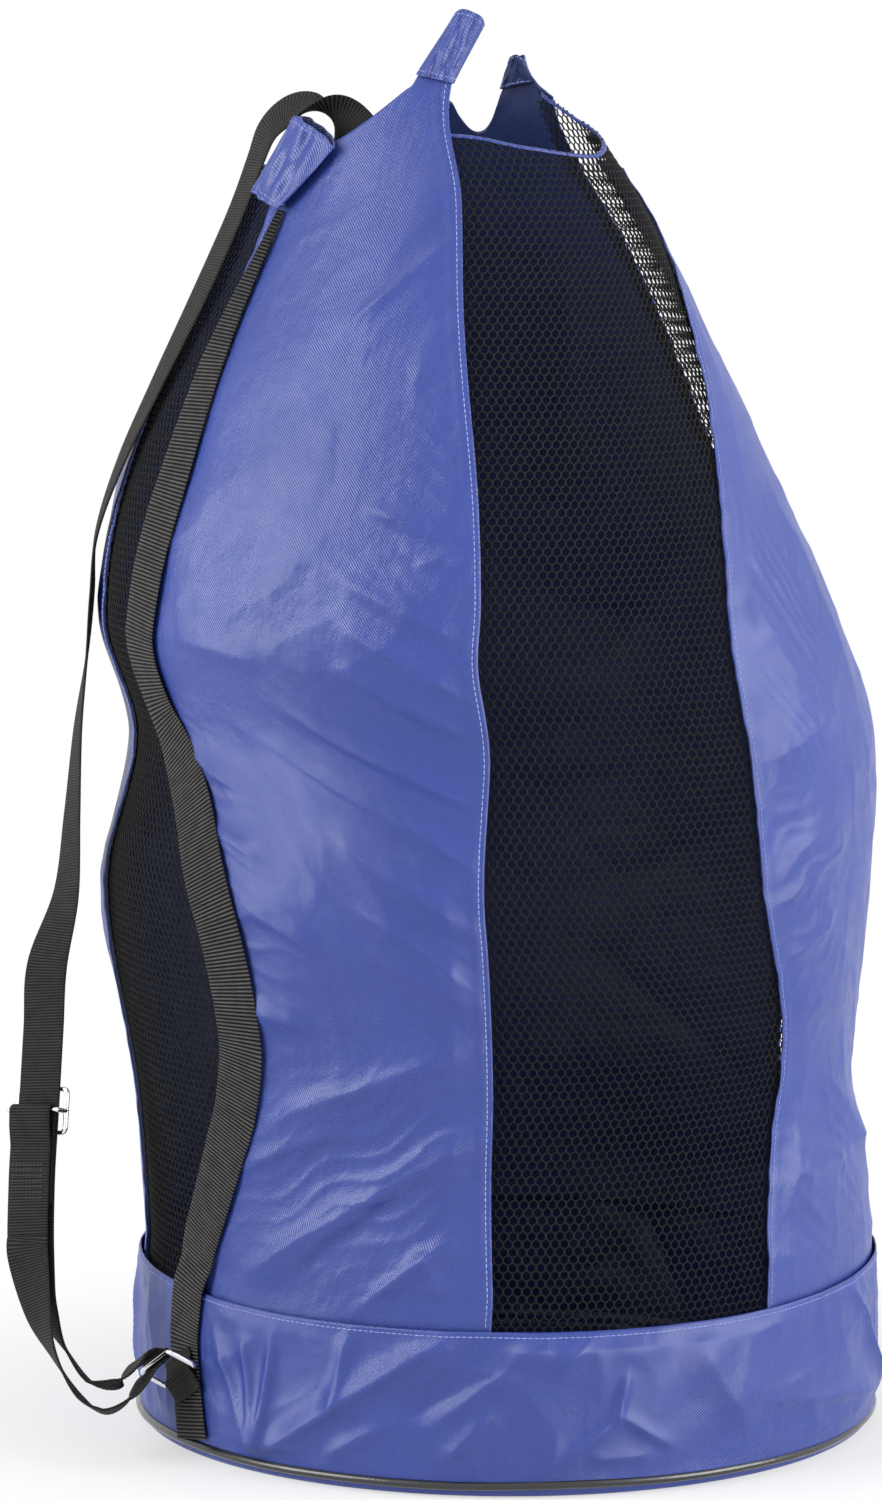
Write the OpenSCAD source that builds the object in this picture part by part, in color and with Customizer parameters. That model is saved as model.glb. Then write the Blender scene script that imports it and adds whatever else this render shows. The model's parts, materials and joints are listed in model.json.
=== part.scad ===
// Mesh ball bag: a round nylon and mesh sack with a drawn mouth and an adjustable webbing strap.
// It stands in the shape that a full load gives it, open inside.
// Millimetres, +Z up, origin at the middle of the base on the floor, front towards -Y.
// Angles round the bag run from the front, positive towards +X.

/* [Bag] */
// Inside diameter of the straight tube at the base
base_d = 407; // [380:1:440]
// Height of that straight tube
straight_h = 92; // [60:1:94]
// Height of the foot above the base
foot_z = 110; // [95:1:130]
// Inside diameter at the foot
foot_d = 405; // [380:1:440]
// Height of the waist
waist_z = 190; // [160:1:215]
// Inside diameter at the waist
waist_d = 399; // [370:1:430]
// Height of the belly
belly_z = 306; // [280:1:330]
// Inside diameter at the belly
belly_d = 425; // [400:1:450]
// Height of the crease between two layers of the load
crease_z = 390; // [370:1:405]
// Inside diameter at the crease
crease_d = 410; // [390:1:430]
// Height of the chest
chest_z = 455; // [430:1:480]
// Inside diameter at the chest
chest_d = 406; // [380:1:430]
// Height of the shoulder
shoulder_z = 543; // [520:1:570]
// Inside diameter at the shoulder
shoulder_d = 350; // [330:1:370]
// Height of the neck
neck_z = 684; // [665:1:695]
// Inside diameter at the neck
neck_d = 220; // [200:1:240]
// Height of the drawn mouth
mouth_z = 735; // [722:1:750]
// Inside diameter at the mouth
mouth_d = 172; // [150:1:190]
// Rise of the rim's tallest peak above the mouth
peak_rise = 55; // [40:1:75]
// Inside diameter at that height
peak_d = 140; // [125:1:165]

/* [Lean] */
// Sideways lean of the waist
waist_lean = -8; // [-20:1:20]
// Sideways lean of the belly
belly_lean = -12; // [-25:1:20]
// Sideways lean of the crease
crease_lean = -3; // [-20:1:20]
// Sideways lean of the chest
chest_lean = -22; // [-35:1:20]
// Sideways lean of the shoulder
shoulder_lean = -34; // [-45:1:20]
// Sideways lean of the neck
neck_lean = -37; // [-50:1:20]
// Sideways lean of the mouth
mouth_lean = -42; // [-50:1:20]
// Sideways lean of the rim's peaks
peak_lean = -27; // [-50:1:20]

/* [Cloth] */
// Thickness of the coated nylon
cloth_t = 1.2; // [0.8:0.1:2]
// Thickness of the mesh
mesh_t = 1; // [0.8:0.1:1.6]
// Clear space between layers
layer_gap = 0.9; // [0.9:0.1:1.3]
// Width of mesh tucked under a panel's edge
seam_lap = 12; // [8:1:18]
// Width of the mesh's closed hem inside its seams
net_hem = 3; // [2:0.5:8]
// Width of a bar between two gaps of the mesh
net_bar = 4; // [3:0.5:8]
// Rows of gaps in each mesh panel
net_rows = 20; // [16:1:24]
// How far the mesh hangs inside its place against the nylon
net_slack = 0.6; // [0.5:0.1:0.8]

/* [Base] */
// Height of the base band's upper edge
band_h = 90; // [70:1:120]
// Rise of that edge at the bag's two sides
band_rise = 6; // [0:1:7]
// Length of panel tucked into the band
tuck = 12; // [8:1:16]
// Radius of the base's turned-up edge
base_edge_r = 3; // [2.5:0.5:12]
// Diameter of the piping
piping_d = 5; // [4:0.5:7]
// Width of the piping's sewn flange
piping_flange = 14; // [10:1:20]

/* [Sleeves] */
// Width of a drawcord sleeve
sleeve_w = 28; // [24:1:32]
// Thickness of a drawcord sleeve over its two walls
sleeve_puff = 9; // [8:0.5:12]
// Drop of the rounded corners at a sleeve's head
sleeve_crown = 4; // [0:0.5:6]

/* [Webbing] */
// Width of the webbing
web_w = 30; // [24:1:30]
// Thickness of the webbing
web_t = 1.8; // [1.4:0.1:2]

/* [Hardware] */
// Diameter of the ring's and slide's wire
wire_d = 3; // [2.5:0.1:3.4]
// Clear width inside the ring and slide
wire_gap_w = 33; // [31:1:36]
// Clear height inside the ring
ring_gap_h = 14; // [10:1:16]
// Height of the ring above the floor
ring_z = 44; // [38:1:60]
// Tilt of the ring's bar on the side webbing
ring_tilt = 30; // [0:5:45]
// Lift of the ring away from the bag
ring_lift = 54; // [30:1:80]
// Clear space between webbing and wire
wire_gap = 0.3; // [0.2:0.05:0.6]
// Clear height of each window of the slide
slide_gap_h = 9; // [8:0.5:14]

/* [Hidden] */
$fn = 48;

NYLON = "#4a58ac";
NET = "#1c1c20";
WEB = "#26262a";
STEEL = "#c9ccd2";

// Layers of the wall, from the inside out
nylon_off = mesh_t + layer_gap;
band_off = nylon_off + cloth_t + layer_gap;
wall_out = band_off + cloth_t;
base_r = base_d / 2 + wall_out - cloth_t;
piping_z = base_edge_r + layer_gap + piping_d / 2;
band_foot = piping_z + piping_d / 2 + layer_gap;
panel_foot = band_h - tuck;
peak_z = mouth_z + peak_rise;

// Cross-sections of the filled bag: height, radius, sideways lean. Below the first it is a straight tube
SECTIONS = [
  [straight_h, base_d / 2, 1],
  [foot_z, foot_d / 2, 1],
  [waist_z, waist_d / 2, waist_lean],
  [belly_z, belly_d / 2, belly_lean],
  [crease_z, crease_d / 2, crease_lean],
  [chest_z, chest_d / 2, chest_lean],
  [shoulder_z, shoulder_d / 2, shoulder_lean],
  [neck_z, neck_d / 2, neck_lean],
  [mouth_z, mouth_d / 2, mouth_lean],
  [peak_z, peak_d / 2, peak_lean]
];

// Seams between the panels, by height: the side seam sways with the load
SIDE_SEAM = [
  [0, -55.5], [60, -58], [90, -57], [115, -55], [145, -50.5], [175, -46], [200, -42.5], [240, -39.5],
  [300, -41.5], [350, -49], [400, -59], [430, -60], [480, -57], [540, -54], [630, -55], [690, -54]
];
FRONT_SEAM = [
  [0, -3], [106, -3], [214, 0], [290, 0], [374, -2.5], [430, -0.5], [480, 3], [540, 5], [632, 4.5], [700, 6]
];
RIGHT_SEAM = [
  [0, 42], [90, 42], [130, 43.5], [180, 47.5], [225, 50], [262, 48], [310, 43.5], [390, 39], [450, 42],
  [510, 49.5], [570, 60], [630, 73], [665, 88], [690, 98]
];
RIGHT_BACK_SEAM = [[0, 90], [560, 100], [700, 118]];
BACK_SEAM = [[0, 124], [560, 122], [640, 125], [700, 136]];
BACK_LEFT_SEAM = [[0, 186], [700, 190]];
LEFT_SEAM = [[0, 228], [700, 232]];
LEFT_FRONT_SEAM = [[0, 276], [700, 285]];
SIDE_SEAM_ROUND = [for (s = SIDE_SEAM) [s[0], s[1] + 360]];

// Upper edges of the panels: angle, then rise above or below the mouth's height
FRONT_TOP = [
  [-54, -36], [-40, -23], [-32, -18], [-20, -5], [-10, 9], [-8, 12], [-6, 22], [7, 24]
];
FRONT_NET_TOP = [[0, -14], [15, -16], [30, -21], [60, -26], [80, -21], [98, -13]];
RIGHT_TOP = [[98, -34], [118, -29]];
RIGHT_NET_TOP = [[118, -10], [136, 12]];
BACK_TOP = [
  [136, 12], [141, 18], [150, 18], [153.5, 8], [155, 2], [158, -7], [162, -13], [166, -13],
  [170, -5], [173, 3], [178, 3], [184, -12], [190, -28]
];
BACK_NET_TOP = [[190, -35], [232, -35]];
LEFT_TOP = [[232, -33], [285, -30]];
LEFT_NET_TOP = [[285, -35], [306, -38]];

// Drawcord sleeves: angle, rise, slant and share of the width at the foot, then at the head
FRONT_SLEEVE = [[0, 14.5, -5, 0.93], [6.2, peak_rise - 4.5, -7, 0.76]];
SIDE_SLEEVE = [[-54, -49.5, -11, 1], [-40, -10, -16, 1.1]];
BACK_SLEEVE = [[145.7, 12, -4, 0.96], [149.2, 29, -3, 0.41]];

// Strap from its sewn end inside the front panel, over the rim and down the left side to the ring:
// a point on its middle line, then the direction of its width
STRAP = [
  [-85.5, -93.5, 690, 0.89, -0.45, 0],
  [-82.5, -84.5, 703, 0.89, -0.45, 0],
  [-81, -75, 713, 0.86, -0.51, 0],
  [-87, -64, 723, 0.75, -0.65, 0],
  [-97, -54, 730.5, 0.6, -0.78, -0.15],
  [-110, -46, 734.5, 0.45, -0.84, -0.3],
  [-122, -40, 731.5, 0.4, -0.87, -0.3],
  [-132, -37, 722, 0.36, -0.91, -0.2],
  [-138.5, -37, 706, 0.34, -0.94, -0.05],
  [-149, -41, 678, 0.34, -0.94, 0],
  [-168.5, -48, 634, 0.34, -0.94, 0],
  [-193, -43, 584, 0.26, -0.97, 0],
  [-214, -33, 540, 0.17, -0.98, 0],
  [-228, -26, 500, 0.08, -1, 0],
  [-231, -23, 466, 0, -1, 0],
  [-234, -24, 432, 0.05, -1, 0],
  [-239, -29, 392, 0.18, -0.98, 0],
  [-242, -38, 345, 0.33, -0.94, 0],
  [-245, -49, 302, 0.5, -0.87, 0],
  [-254.9, -61.2, 263.6, 0.77, -0.64, 0],
  [-256.5, -70, 230, 0.77, -0.64, 0],
  [-258.5, -81, 188, 0.77, -0.64, 0],
  [-260.5, -92, 146, 0.77, -0.64, 0],
  [-260, -103, 104, 0.77, -0.64, 0],
  [-251, -111, 76, 0.45, -0.9, 0],
  [-241, -116, 57, 0.2, -0.98, 0],
  [-228, -122, 42, 0.1, -0.97, 0.2],
  [-213, -127, 44, 0.42, -0.76, 0.5]
];
// The last point of the stretch that keeps still when the ring turns, and the slide's place
STRAP_STILL = 23;
SLIDE_AT = 21.06;
STRAP_END = len(STRAP) + 1;

function mix(a, b, t) = a + (b - a) * t;
function unit(v) = v / norm(v);
function limit(s, low, high) = min(max(s, low), high);
function ease(t) = let (c = limit(t, 0, 1)) c * c * (3 - 2 * c);

// Smooth curve through a list keyed by its first column: column k at place s
function span(list, s, i = 0) = i >= len(list) - 2 || s < list[i + 1][0] ? i : span(list, s, i + 1);
function slope(list, i, k) =
  let (a = max(i - 1, 0), b = min(i + 1, len(list) - 1))
  (list[b][k] - list[a][k]) / (list[b][0] - list[a][0]);
function curve(list, place, k) =
  let (
    s = limit(place, list[0][0], list[len(list) - 1][0]),
    i = span(list, s),
    h = list[i + 1][0] - list[i][0],
    t = (s - list[i][0]) / h
  )
  mix(list[i][k], list[i + 1][k], t * t * (3 - 2 * t))
  + h * t * (1 - t) * (slope(list, i, k) * (1 - t) - slope(list, i + 1, k) * t);

// A point of the bag's wall at an angle and height, off the inside face by a distance
function wall(a, z, off) =
  let (r = curve(SECTIONS, z, 1) + off)
  [curve(SECTIONS, z, 2) + r * sin(a), -r * cos(a), z];
function wall_r(z) = curve(SECTIONS, z, 1);
function degrees_of(arc, z) = arc / wall_r(z) * 180 / PI;

// Even cloth between two faces, each a function of u across and v along, with gaps in the cells that are open
module cloth(outer, inner, nu, nv, ring = false, open = function (i, j) false) {
  cols = ring ? nu : nu + 1;
  half = cols * (nv + 1);
  function at(i, j) = j * cols + i % cols;
  points = [for (f = [outer, inner]) for (j = [0 : nv]) for (i = [0 : cols - 1]) f(i / nu, j / nv)];
  function wall_of(p, q) = [[p, q, q + half], [p, q + half, p + half]];
  faces = [for (j = [0 : nv - 1]) for (i = [0 : nu - 1])
    let (a = at(i, j), b = at(i + 1, j), c = at(i + 1, j + 1), d = at(i, j + 1))
    each open(i, j)
      ? concat(wall_of(d, c), wall_of(b, a), wall_of(a, d), wall_of(c, b))
      : [[a, d, c], [a, c, b], [a + half, c + half, d + half], [a + half, b + half, c + half]]];
  foot = [for (i = [0 : nu - 1]) each wall_of(at(i, 0), at(i + 1, 0))];
  head = [for (i = [0 : nu - 1]) each wall_of(at(i + 1, nv), at(i, nv))];
  sides = ring ? [] : [for (j = [0 : nv - 1])
    each concat(wall_of(at(0, j + 1), at(0, j)), wall_of(at(nu, j), at(nu, j + 1)))];
  polyhedron(points, concat(faces, foot, head, sides), convexity = 8);
}

// A strip of webbing along a path, with the direction of its width at each point
module ribbon(path, side, w, t) {
  n = len(path) - 1;
  dir = [for (i = [0 : n]) unit(path[min(i + 1, n)] - path[max(i - 1, 0)])];
  across = [for (i = [0 : n]) unit(side[i] - dir[i] * (side[i] * dir[i]))];
  out = [for (i = [0 : n]) cross(across[i], dir[i])];
  cloth(
    function (u, v) let (i = round(v * n)) path[i] + across[i] * w * (u - 0.5) + out[i] * t / 2,
    function (u, v) let (i = round(v * n)) path[i] + across[i] * w * (u - 0.5) - out[i] * t / 2,
    1, n);
}

// A nylon panel of the wall between two seams, from inside the band to its own upper edge
module nylon(left, right, top, nu, nv = 28) {
  function point(u, v, off) =
    let (
      top_a = mix(curve(left, mouth_z, 1), curve(right, mouth_z, 1), u),
      z = mix(panel_foot, mouth_z + curve(top, top_a, 1), v)
    )
    wall(mix(curve(left, z, 1), curve(right, z, 1), u), z, off);
  color(NYLON) cloth(
    function (u, v) point(u, v, nylon_off + cloth_t),
    function (u, v) point(u, v, nylon_off),
    nu, nv);
}

// A mesh panel between two seams, its edges lapped under the nylon: a plain grid of gaps inside closed hems.
// Its lines run in pairs, one at each side of a gap, with the outermost at the panel's own edges
module net(left, right, top, gaps) {
  nu = 2 * gaps + 1;
  nv = 2 * net_rows + 1;
  function pair(k, n, length) = length * floor(k / 2) / n + (k % 2 - 0.5) * net_bar;
  function angle(k, z) =
    let (
      from = curve(left, z, 1),
      width = (curve(right, z, 1) - from) * wall_r(z) * PI / 180,
      arc = k == 0 ? -seam_lap
        : k == nu ? width + seam_lap
        : net_hem + pair(k, gaps, width - 2 * net_hem)
    )
    from + degrees_of(arc, z);
  function height(k, z_top) =
    k == 0 ? panel_foot
    : k == nv ? z_top
    : band_h + net_hem + pair(k, net_rows, z_top - band_h - 2 * net_hem);
  function point(u, v, off) =
    let (
      k = round(u * nu),
      z = height(round(v * nv), mouth_z + curve(top, angle(k, mouth_z), 1))
    )
    wall(angle(k, z), z, off);
  color(NET) cloth(
    function (u, v) point(u, v, mesh_t - net_slack),
    function (u, v) point(u, v, -net_slack),
    nu, nv, open = function (i, j) i % 2 == 1 && j % 2 == 1);
}

// Round base with its edge turned up into the seam
module base_panel() {
  flat_r = base_r - base_edge_r;
  outer = [for (a = [-90 : 15 : 0]) [flat_r + base_edge_r * cos(a), base_edge_r * (1 + sin(a))]];
  inner = [for (a = [0 : -15 : -90])
    [flat_r + (base_edge_r - cloth_t) * cos(a), base_edge_r + (base_edge_r - cloth_t) * sin(a)]];
  color(NYLON) rotate_extrude($fn = 96) polygon(concat([[0, 0]], outer, inner, [[0, cloth_t]]));
}

// Piping bead with its flange sewn into the base seam
module base_piping() {
  color(WEB) rotate_extrude($fn = 96) {
    translate([base_r, piping_z]) circle(d = piping_d);
    translate([base_r - piping_flange, piping_z - cloth_t / 2]) square([piping_flange, cloth_t]);
  }
}

// Band of doubled nylon round the foot, its upper edge a little higher at the sides
module base_band() {
  function point(a, v, off) = wall(a, mix(band_foot, band_h + band_rise * pow(sin(a), 4), v), off);
  color(NYLON) cloth(
    function (u, v) point(360 * u, v, wall_out),
    function (u, v) point(360 * u, v, band_off),
    72, 3, true);
}

// Flat sleeve for a drawcord, open at both ends, its walls either side of a distance off the wall
module sleeve(shape, off) {
  function point(u, v, t) =
    let (
      q = mix(shape[0], shape[1], v),
      s = -cos(360 * u) / 2,
      z = mouth_z + q[1] + q[2] * s - sleeve_crown * v * pow(2 * s, 4),
      w = sleeve_w * q[3] - 2 * t
    )
    wall(q[0] + degrees_of(w * s, z), z, off + sin(360 * u) * (sleeve_puff / 2 - t));
  color(NYLON) cloth(
    function (u, v) point(u, v, 0),
    function (u, v) point(u, v, cloth_t),
    16, 6, true);
}

module front_sleeve() sleeve(FRONT_SLEEVE, nylon_off + cloth_t / 2);

module back_sleeve() sleeve(BACK_SLEEVE, nylon_off + cloth_t / 2);

module side_sleeve() sleeve(SIDE_SLEEVE, nylon_off + cloth_t + layer_gap + sleeve_puff / 2);

// Webbing sewn down the side seam, over the band, from the side sleeve to the piping
function web_off(z) = mix(wall_out, nylon_off + cloth_t, ease((z - band_h - 4) / 20)) + layer_gap * 1.4;
module side_webbing() {
  head_z = mouth_z + SIDE_SLEEVE[0][1] - abs(SIDE_SLEEVE[0][2]) / 2 - layer_gap;
  function point(u, v, t) =
    let (z = mix(band_foot, head_z, v))
    wall(curve(SIDE_SEAM, z, 1) + degrees_of(web_w * (u - 0.5), z), z, web_off(z) + t);
  color(WEB) cloth(
    function (u, v) point(u, v, web_t),
    function (u, v) point(u, v, 0),
    2, 48);
}

// Place on the side webbing's face where the ring is held: bar along X, out of the bag along Z
ring_a = curve(SIDE_SEAM, ring_z, 1);
ring_out = [sin(ring_a), -cos(ring_a), 0];
ring_side = [cos(ring_a), sin(ring_a), 0];
ring_bar = ring_side * cos(ring_tilt) + [0, 0, 1] * sin(ring_tilt);
ring_up = [0, 0, 1] * cos(ring_tilt) - ring_side * sin(ring_tilt);
ring_seat = wall(ring_a, ring_z, web_off(ring_z) + web_t);
ring_centre = ring_seat + ring_out * (wire_gap + wire_d / 2);
ring_reach = ring_up * cos(ring_lift) + ring_out * sin(ring_lift);
ring_far = ring_centre + ring_reach * (ring_gap_h + wire_d);
// The strap goes over the ring's far bar, and comes back below it. It hangs at an angle to the ring
strap_drop = 50;
bar_turn = wire_d / 2 + wire_gap + web_t / 2;
ring_top = -cross(ring_bar, ring_reach);
lead_dir = ring_reach * cos(strap_drop) - ring_top * sin(strap_drop);
lead_over = ring_top * cos(strap_drop) + ring_reach * sin(strap_drop);
function ring_near(side) = ring_far + lead_over * side * (bar_turn + 0.4) + lead_dir * 1.5;
function ring_lead(side) = ring_far + lead_over * side * (bar_turn + 2) + lead_dir * 8;
echo(ring_centre = ring_centre, ring_bar = ring_bar);
echo(ring_far = ring_far, ring_reach = ring_reach);

// Short tab of webbing sewn over the ring's bar
module ring_tab() {
  bar_n = wire_gap + wire_d / 2;
  leg_n = wire_gap + web_t / 2;
  leg = 12;
  blend = 8.5;
  path = concat(
    [[-leg, leg_n], [-blend, leg_n]],
    [for (a = [150 : -20 : 30]) [bar_turn * cos(a), bar_n + bar_turn * sin(a)]],
    [[blend, leg_n], [leg, leg_n]]);
  color(WEB) ribbon(
    [for (p = path) ring_seat + ring_up * p[0] + ring_out * p[1]],
    [for (p = path) ring_bar],
    web_w, web_t);
}

// Rectangle of bent wire with round corners, lying in its own XY plane
module wire_loop(w, h, bend) {
  for (side = [-1, 1]) {
    translate([-w / 2 + bend, side * h / 2, 0]) rotate([0, 90, 0]) cylinder(d = wire_d, h = w - 2 * bend);
    translate([side * w / 2, -h / 2 + bend, 0]) rotate([-90, 0, 0]) cylinder(d = wire_d, h = h - 2 * bend);
    for (end = [-1, 1])
      translate([side * (w / 2 - bend), end * (h / 2 - bend), 0])
        rotate([0, 0, side > 0 ? (end > 0 ? 0 : -90) : (end > 0 ? 90 : 180)])
          rotate_extrude(angle = 90) translate([bend, 0]) circle(d = wire_d);
  }
}

// Puts its children at a point, with their X, Y and Z along three directions
module set_in(p, x, y, z) {
  multmatrix([
    [x[0], y[0], z[0], p[0]],
    [x[1], y[1], z[1], p[1]],
    [x[2], y[2], z[2], p[2]],
    [0, 0, 0, 1]]) children();
}

module lower_ring() {
  middle = (ring_centre + ring_far) / 2;
  color(STEEL) set_in(middle, ring_bar, ring_reach, cross(ring_bar, ring_reach))
    wire_loop(wire_gap_w + wire_d, ring_gap_h + wire_d, wire_d);
}

// Strap points between two places on its list, a few rings to each stretch
STRAP_TO_RING = concat(STRAP, [concat(ring_lead(1), ring_bar), concat(ring_near(1), ring_bar)]);
STRAP_KEYED = [for (i = [0 : STRAP_END]) concat([i], STRAP_TO_RING[i])];
function strap_at(s) = [for (k = [1 : 3]) curve(STRAP_KEYED, s, k)];
function strap_side(s) = [for (k = [4 : 6]) curve(STRAP_KEYED, s, k)];
module strap_piece(from, to, steps) {
  places = [for (i = [0 : steps]) mix(from, to, i / steps)];
  color(WEB) ribbon([for (s = places) strap_at(s)], [for (s = places) strap_side(s)], web_w, web_t);
}

module strap_upper() strap_piece(0, STRAP_STILL, 52);

module strap_lower() strap_piece(STRAP_STILL + 0.075, STRAP_END, 18);

// Frame of the slide on the straight stretch of the strap: across, up, and out towards the front
slide_up = unit(strap_at(20) - strap_at(22));
slide_across = unit(strap_side(SLIDE_AT) - slide_up * (strap_side(SLIDE_AT) * slide_up));
slide_front = cross(slide_across, slide_up);
slide_bar_off = web_t * 1.5 + 2 * wire_gap + wire_d / 2;
echo(slide_centre = strap_at(SLIDE_AT), slide_up = slide_up);

// Slide: a wire frame behind the strap, with its middle bar cranked to the front of it
module slide_buckle() {
  w = wire_gap_w + wire_d;
  frame_off = -(web_t / 2 + wire_gap + wire_d / 2);
  crank = slide_bar_off - frame_off;
  color(STEEL) set_in(strap_at(SLIDE_AT), slide_across, slide_up, slide_front) {
    translate([0, 0, frame_off]) wire_loop(w, 2 * (slide_gap_h + wire_d), wire_d);
    for (side = [-1, 1]) {
      translate([side * w / 2, 0, frame_off]) cylinder(d = wire_d, h = crank);
      translate([side * w / 2, 0, slide_bar_off]) sphere(d = wire_d);
    }
    translate([-w / 2, 0, slide_bar_off]) rotate([0, 90, 0]) cylinder(d = wire_d, h = w);
  }
}

// Doubled end of the strap: sewn round the slide's middle bar and down the front of the strap
TAIL_SEAM = STRAP_STILL - 0.4;
function strap_front(s) =
  let (up = unit(strap_at(s - 0.2) - strap_at(s + 0.2)), w = strap_side(s))
  cross(unit(w - up * (w * up)), up);
layer = web_t + 2 * wire_gap;
// The place on the strap where the end's short inner layer is sewn down
SEWN_TO = SLIDE_AT + 1.15;
module strap_tail() {
  centre = strap_at(SLIDE_AT);
  function beside(s, off) = strap_at(s) + strap_front(s) * off;
  up = [for (s = [SEWN_TO : -0.15 : SLIDE_AT + 0.2]) beside(s, slide_bar_off - bar_turn)];
  turn = [for (a = [-90 : 22.5 : 90])
    centre + slide_up * bar_turn * cos(a) + slide_front * (slide_bar_off + bar_turn * sin(a))];
  down = concat(
    [beside(SLIDE_AT + 0.2, slide_bar_off + bar_turn * 0.8)],
    [for (s = [SLIDE_AT + 0.45 : 0.15 : TAIL_SEAM]) beside(s, 2 * layer)]);
  path = concat(up, turn, down);
  color(WEB) ribbon(path, [for (p = path) slide_across], web_w, web_t);
}

// The rest of the doubled end: away from the strap in a lower curve, and round the ring's far bar
RETURN = [
  [-256, -117, 75, 0.5, -0.87, 0],
  [-247, -121, 54, 0.25, -0.97, 0],
  [-234, -126, 35, 0.1, -1, 0.1],
  [-221, -129, 28, 0.2, -0.9, 0.3],
  [-207, -130, 35, 0.4, -0.78, 0.48]
];
module strap_return() {
  top = [for (s = [TAIL_SEAM + 0.05, TAIL_SEAM + 0.3]) strap_at(s) + strap_front(s) * 2 * layer];
  turn = [for (a = [0 : 30 : 150]) ring_far - (lead_over * cos(a) + lead_dir * sin(a)) * bar_turn];
  rows = concat(
    [for (i = [0, 1]) concat([i], top[i], slide_across)],
    [for (i = [0 : len(RETURN) - 1]) concat([i + 2], RETURN[i])],
    [concat([len(RETURN) + 2], ring_lead(-1), ring_bar)],
    [concat([len(RETURN) + 3], ring_near(-1), ring_bar)]);
  places = [0 : 0.25 : len(rows) - 1];
  path = [for (s = places) [for (k = [1 : 3]) curve(rows, s, k)]];
  side = [for (s = places) [for (k = [4 : 6]) curve(rows, s, k)]];
  color(WEB) ribbon(
    concat(path, turn),
    concat(side, [for (p = turn) ring_bar]),
    web_w, web_t);
}

module front_panel() nylon(SIDE_SEAM, FRONT_SEAM, FRONT_TOP, 18);
module front_mesh() net(FRONT_SEAM, RIGHT_SEAM, FRONT_NET_TOP, 6);
module right_panel() nylon(RIGHT_SEAM, RIGHT_BACK_SEAM, RIGHT_TOP, 10);
module right_mesh() net(RIGHT_BACK_SEAM, BACK_SEAM, RIGHT_NET_TOP, 4);
module back_panel() nylon(BACK_SEAM, BACK_LEFT_SEAM, BACK_TOP, 13);
module back_mesh() net(BACK_LEFT_SEAM, LEFT_SEAM, BACK_NET_TOP, 4);
module left_panel() nylon(LEFT_SEAM, LEFT_FRONT_SEAM, LEFT_TOP, 8);
module left_mesh() net(LEFT_FRONT_SEAM, SIDE_SEAM_ROUND, LEFT_NET_TOP, 4);

base_panel();
base_piping();
base_band();
front_panel();
right_panel();
back_panel();
left_panel();
front_mesh();
right_mesh();
back_mesh();
left_mesh();
front_sleeve();
side_sleeve();
back_sleeve();
side_webbing();
ring_tab();
lower_ring();
strap_upper();
strap_lower();
strap_return();
strap_tail();
slide_buckle();
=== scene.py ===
import json
import math

import bpy
import numpy as np
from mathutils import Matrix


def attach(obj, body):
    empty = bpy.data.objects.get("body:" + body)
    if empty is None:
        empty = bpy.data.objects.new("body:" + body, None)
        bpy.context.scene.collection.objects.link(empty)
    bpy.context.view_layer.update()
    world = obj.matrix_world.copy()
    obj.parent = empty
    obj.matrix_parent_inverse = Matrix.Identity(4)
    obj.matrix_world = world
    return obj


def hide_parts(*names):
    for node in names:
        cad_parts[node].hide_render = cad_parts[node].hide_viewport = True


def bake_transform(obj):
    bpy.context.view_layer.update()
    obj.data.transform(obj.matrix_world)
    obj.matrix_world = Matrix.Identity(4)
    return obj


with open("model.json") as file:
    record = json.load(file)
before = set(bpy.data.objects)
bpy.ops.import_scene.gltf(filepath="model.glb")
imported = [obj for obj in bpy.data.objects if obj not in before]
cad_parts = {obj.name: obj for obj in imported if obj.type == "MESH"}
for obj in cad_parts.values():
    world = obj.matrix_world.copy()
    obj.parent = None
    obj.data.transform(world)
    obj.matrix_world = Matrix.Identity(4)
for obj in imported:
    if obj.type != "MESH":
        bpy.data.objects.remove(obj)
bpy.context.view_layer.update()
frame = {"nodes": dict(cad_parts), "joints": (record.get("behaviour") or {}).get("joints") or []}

# Camera, light and floor.
# The camera stands a little above the middle of the bag and looks slightly down, as in the photograph.
# The light is soft and plain, and the floor keeps the shadow but looks white to the camera.
scene = bpy.context.scene
scene.view_settings.view_transform = "Standard"

CAMERA_DOWN = math.radians(6.7)
CAMERA_FAR = 3.0
CAMERA_AIM = (-0.037, 0.0, 0.376)
camera = bpy.data.objects.new("camera", bpy.data.cameras.new("camera"))
camera.data.sensor_fit = "VERTICAL"
camera.data.sensor_height = 24.0
camera.data.lens = 85.4
camera.location = (
    CAMERA_AIM[0],
    CAMERA_AIM[1] - CAMERA_FAR * math.cos(CAMERA_DOWN),
    CAMERA_AIM[2] + CAMERA_FAR * math.sin(CAMERA_DOWN),
)
camera.rotation_euler = (math.pi / 2 - CAMERA_DOWN, 0.0, 0.0)
scene.collection.objects.link(camera)
scene.camera = camera


def area_light(name, place, aim, size, power):
    """A square soft light at a place, turned towards a point."""
    light = bpy.data.objects.new(name, bpy.data.lights.new(name, "AREA"))
    light.data.size = size
    light.data.energy = power
    light.location = place
    way = np.array(aim) - np.array(place)
    light.rotation_euler = (
        math.atan2(math.hypot(way[0], way[1]), -way[2]),
        0.0,
        math.atan2(way[1], way[0]) - math.pi / 2,
    )
    scene.collection.objects.link(light)


area_light("left", (-2.2, -1.1, 1.3), (0.0, 0.0, 0.4), 1.7, 68.0)
area_light("right", (2.2, -1.0, 0.95), (0.0, 0.0, 0.35), 1.7, 70.0)
area_light("top", (0.1, 0.2, 2.4), (0.0, 0.0, 0.4), 1.4, 14.0)


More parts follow.
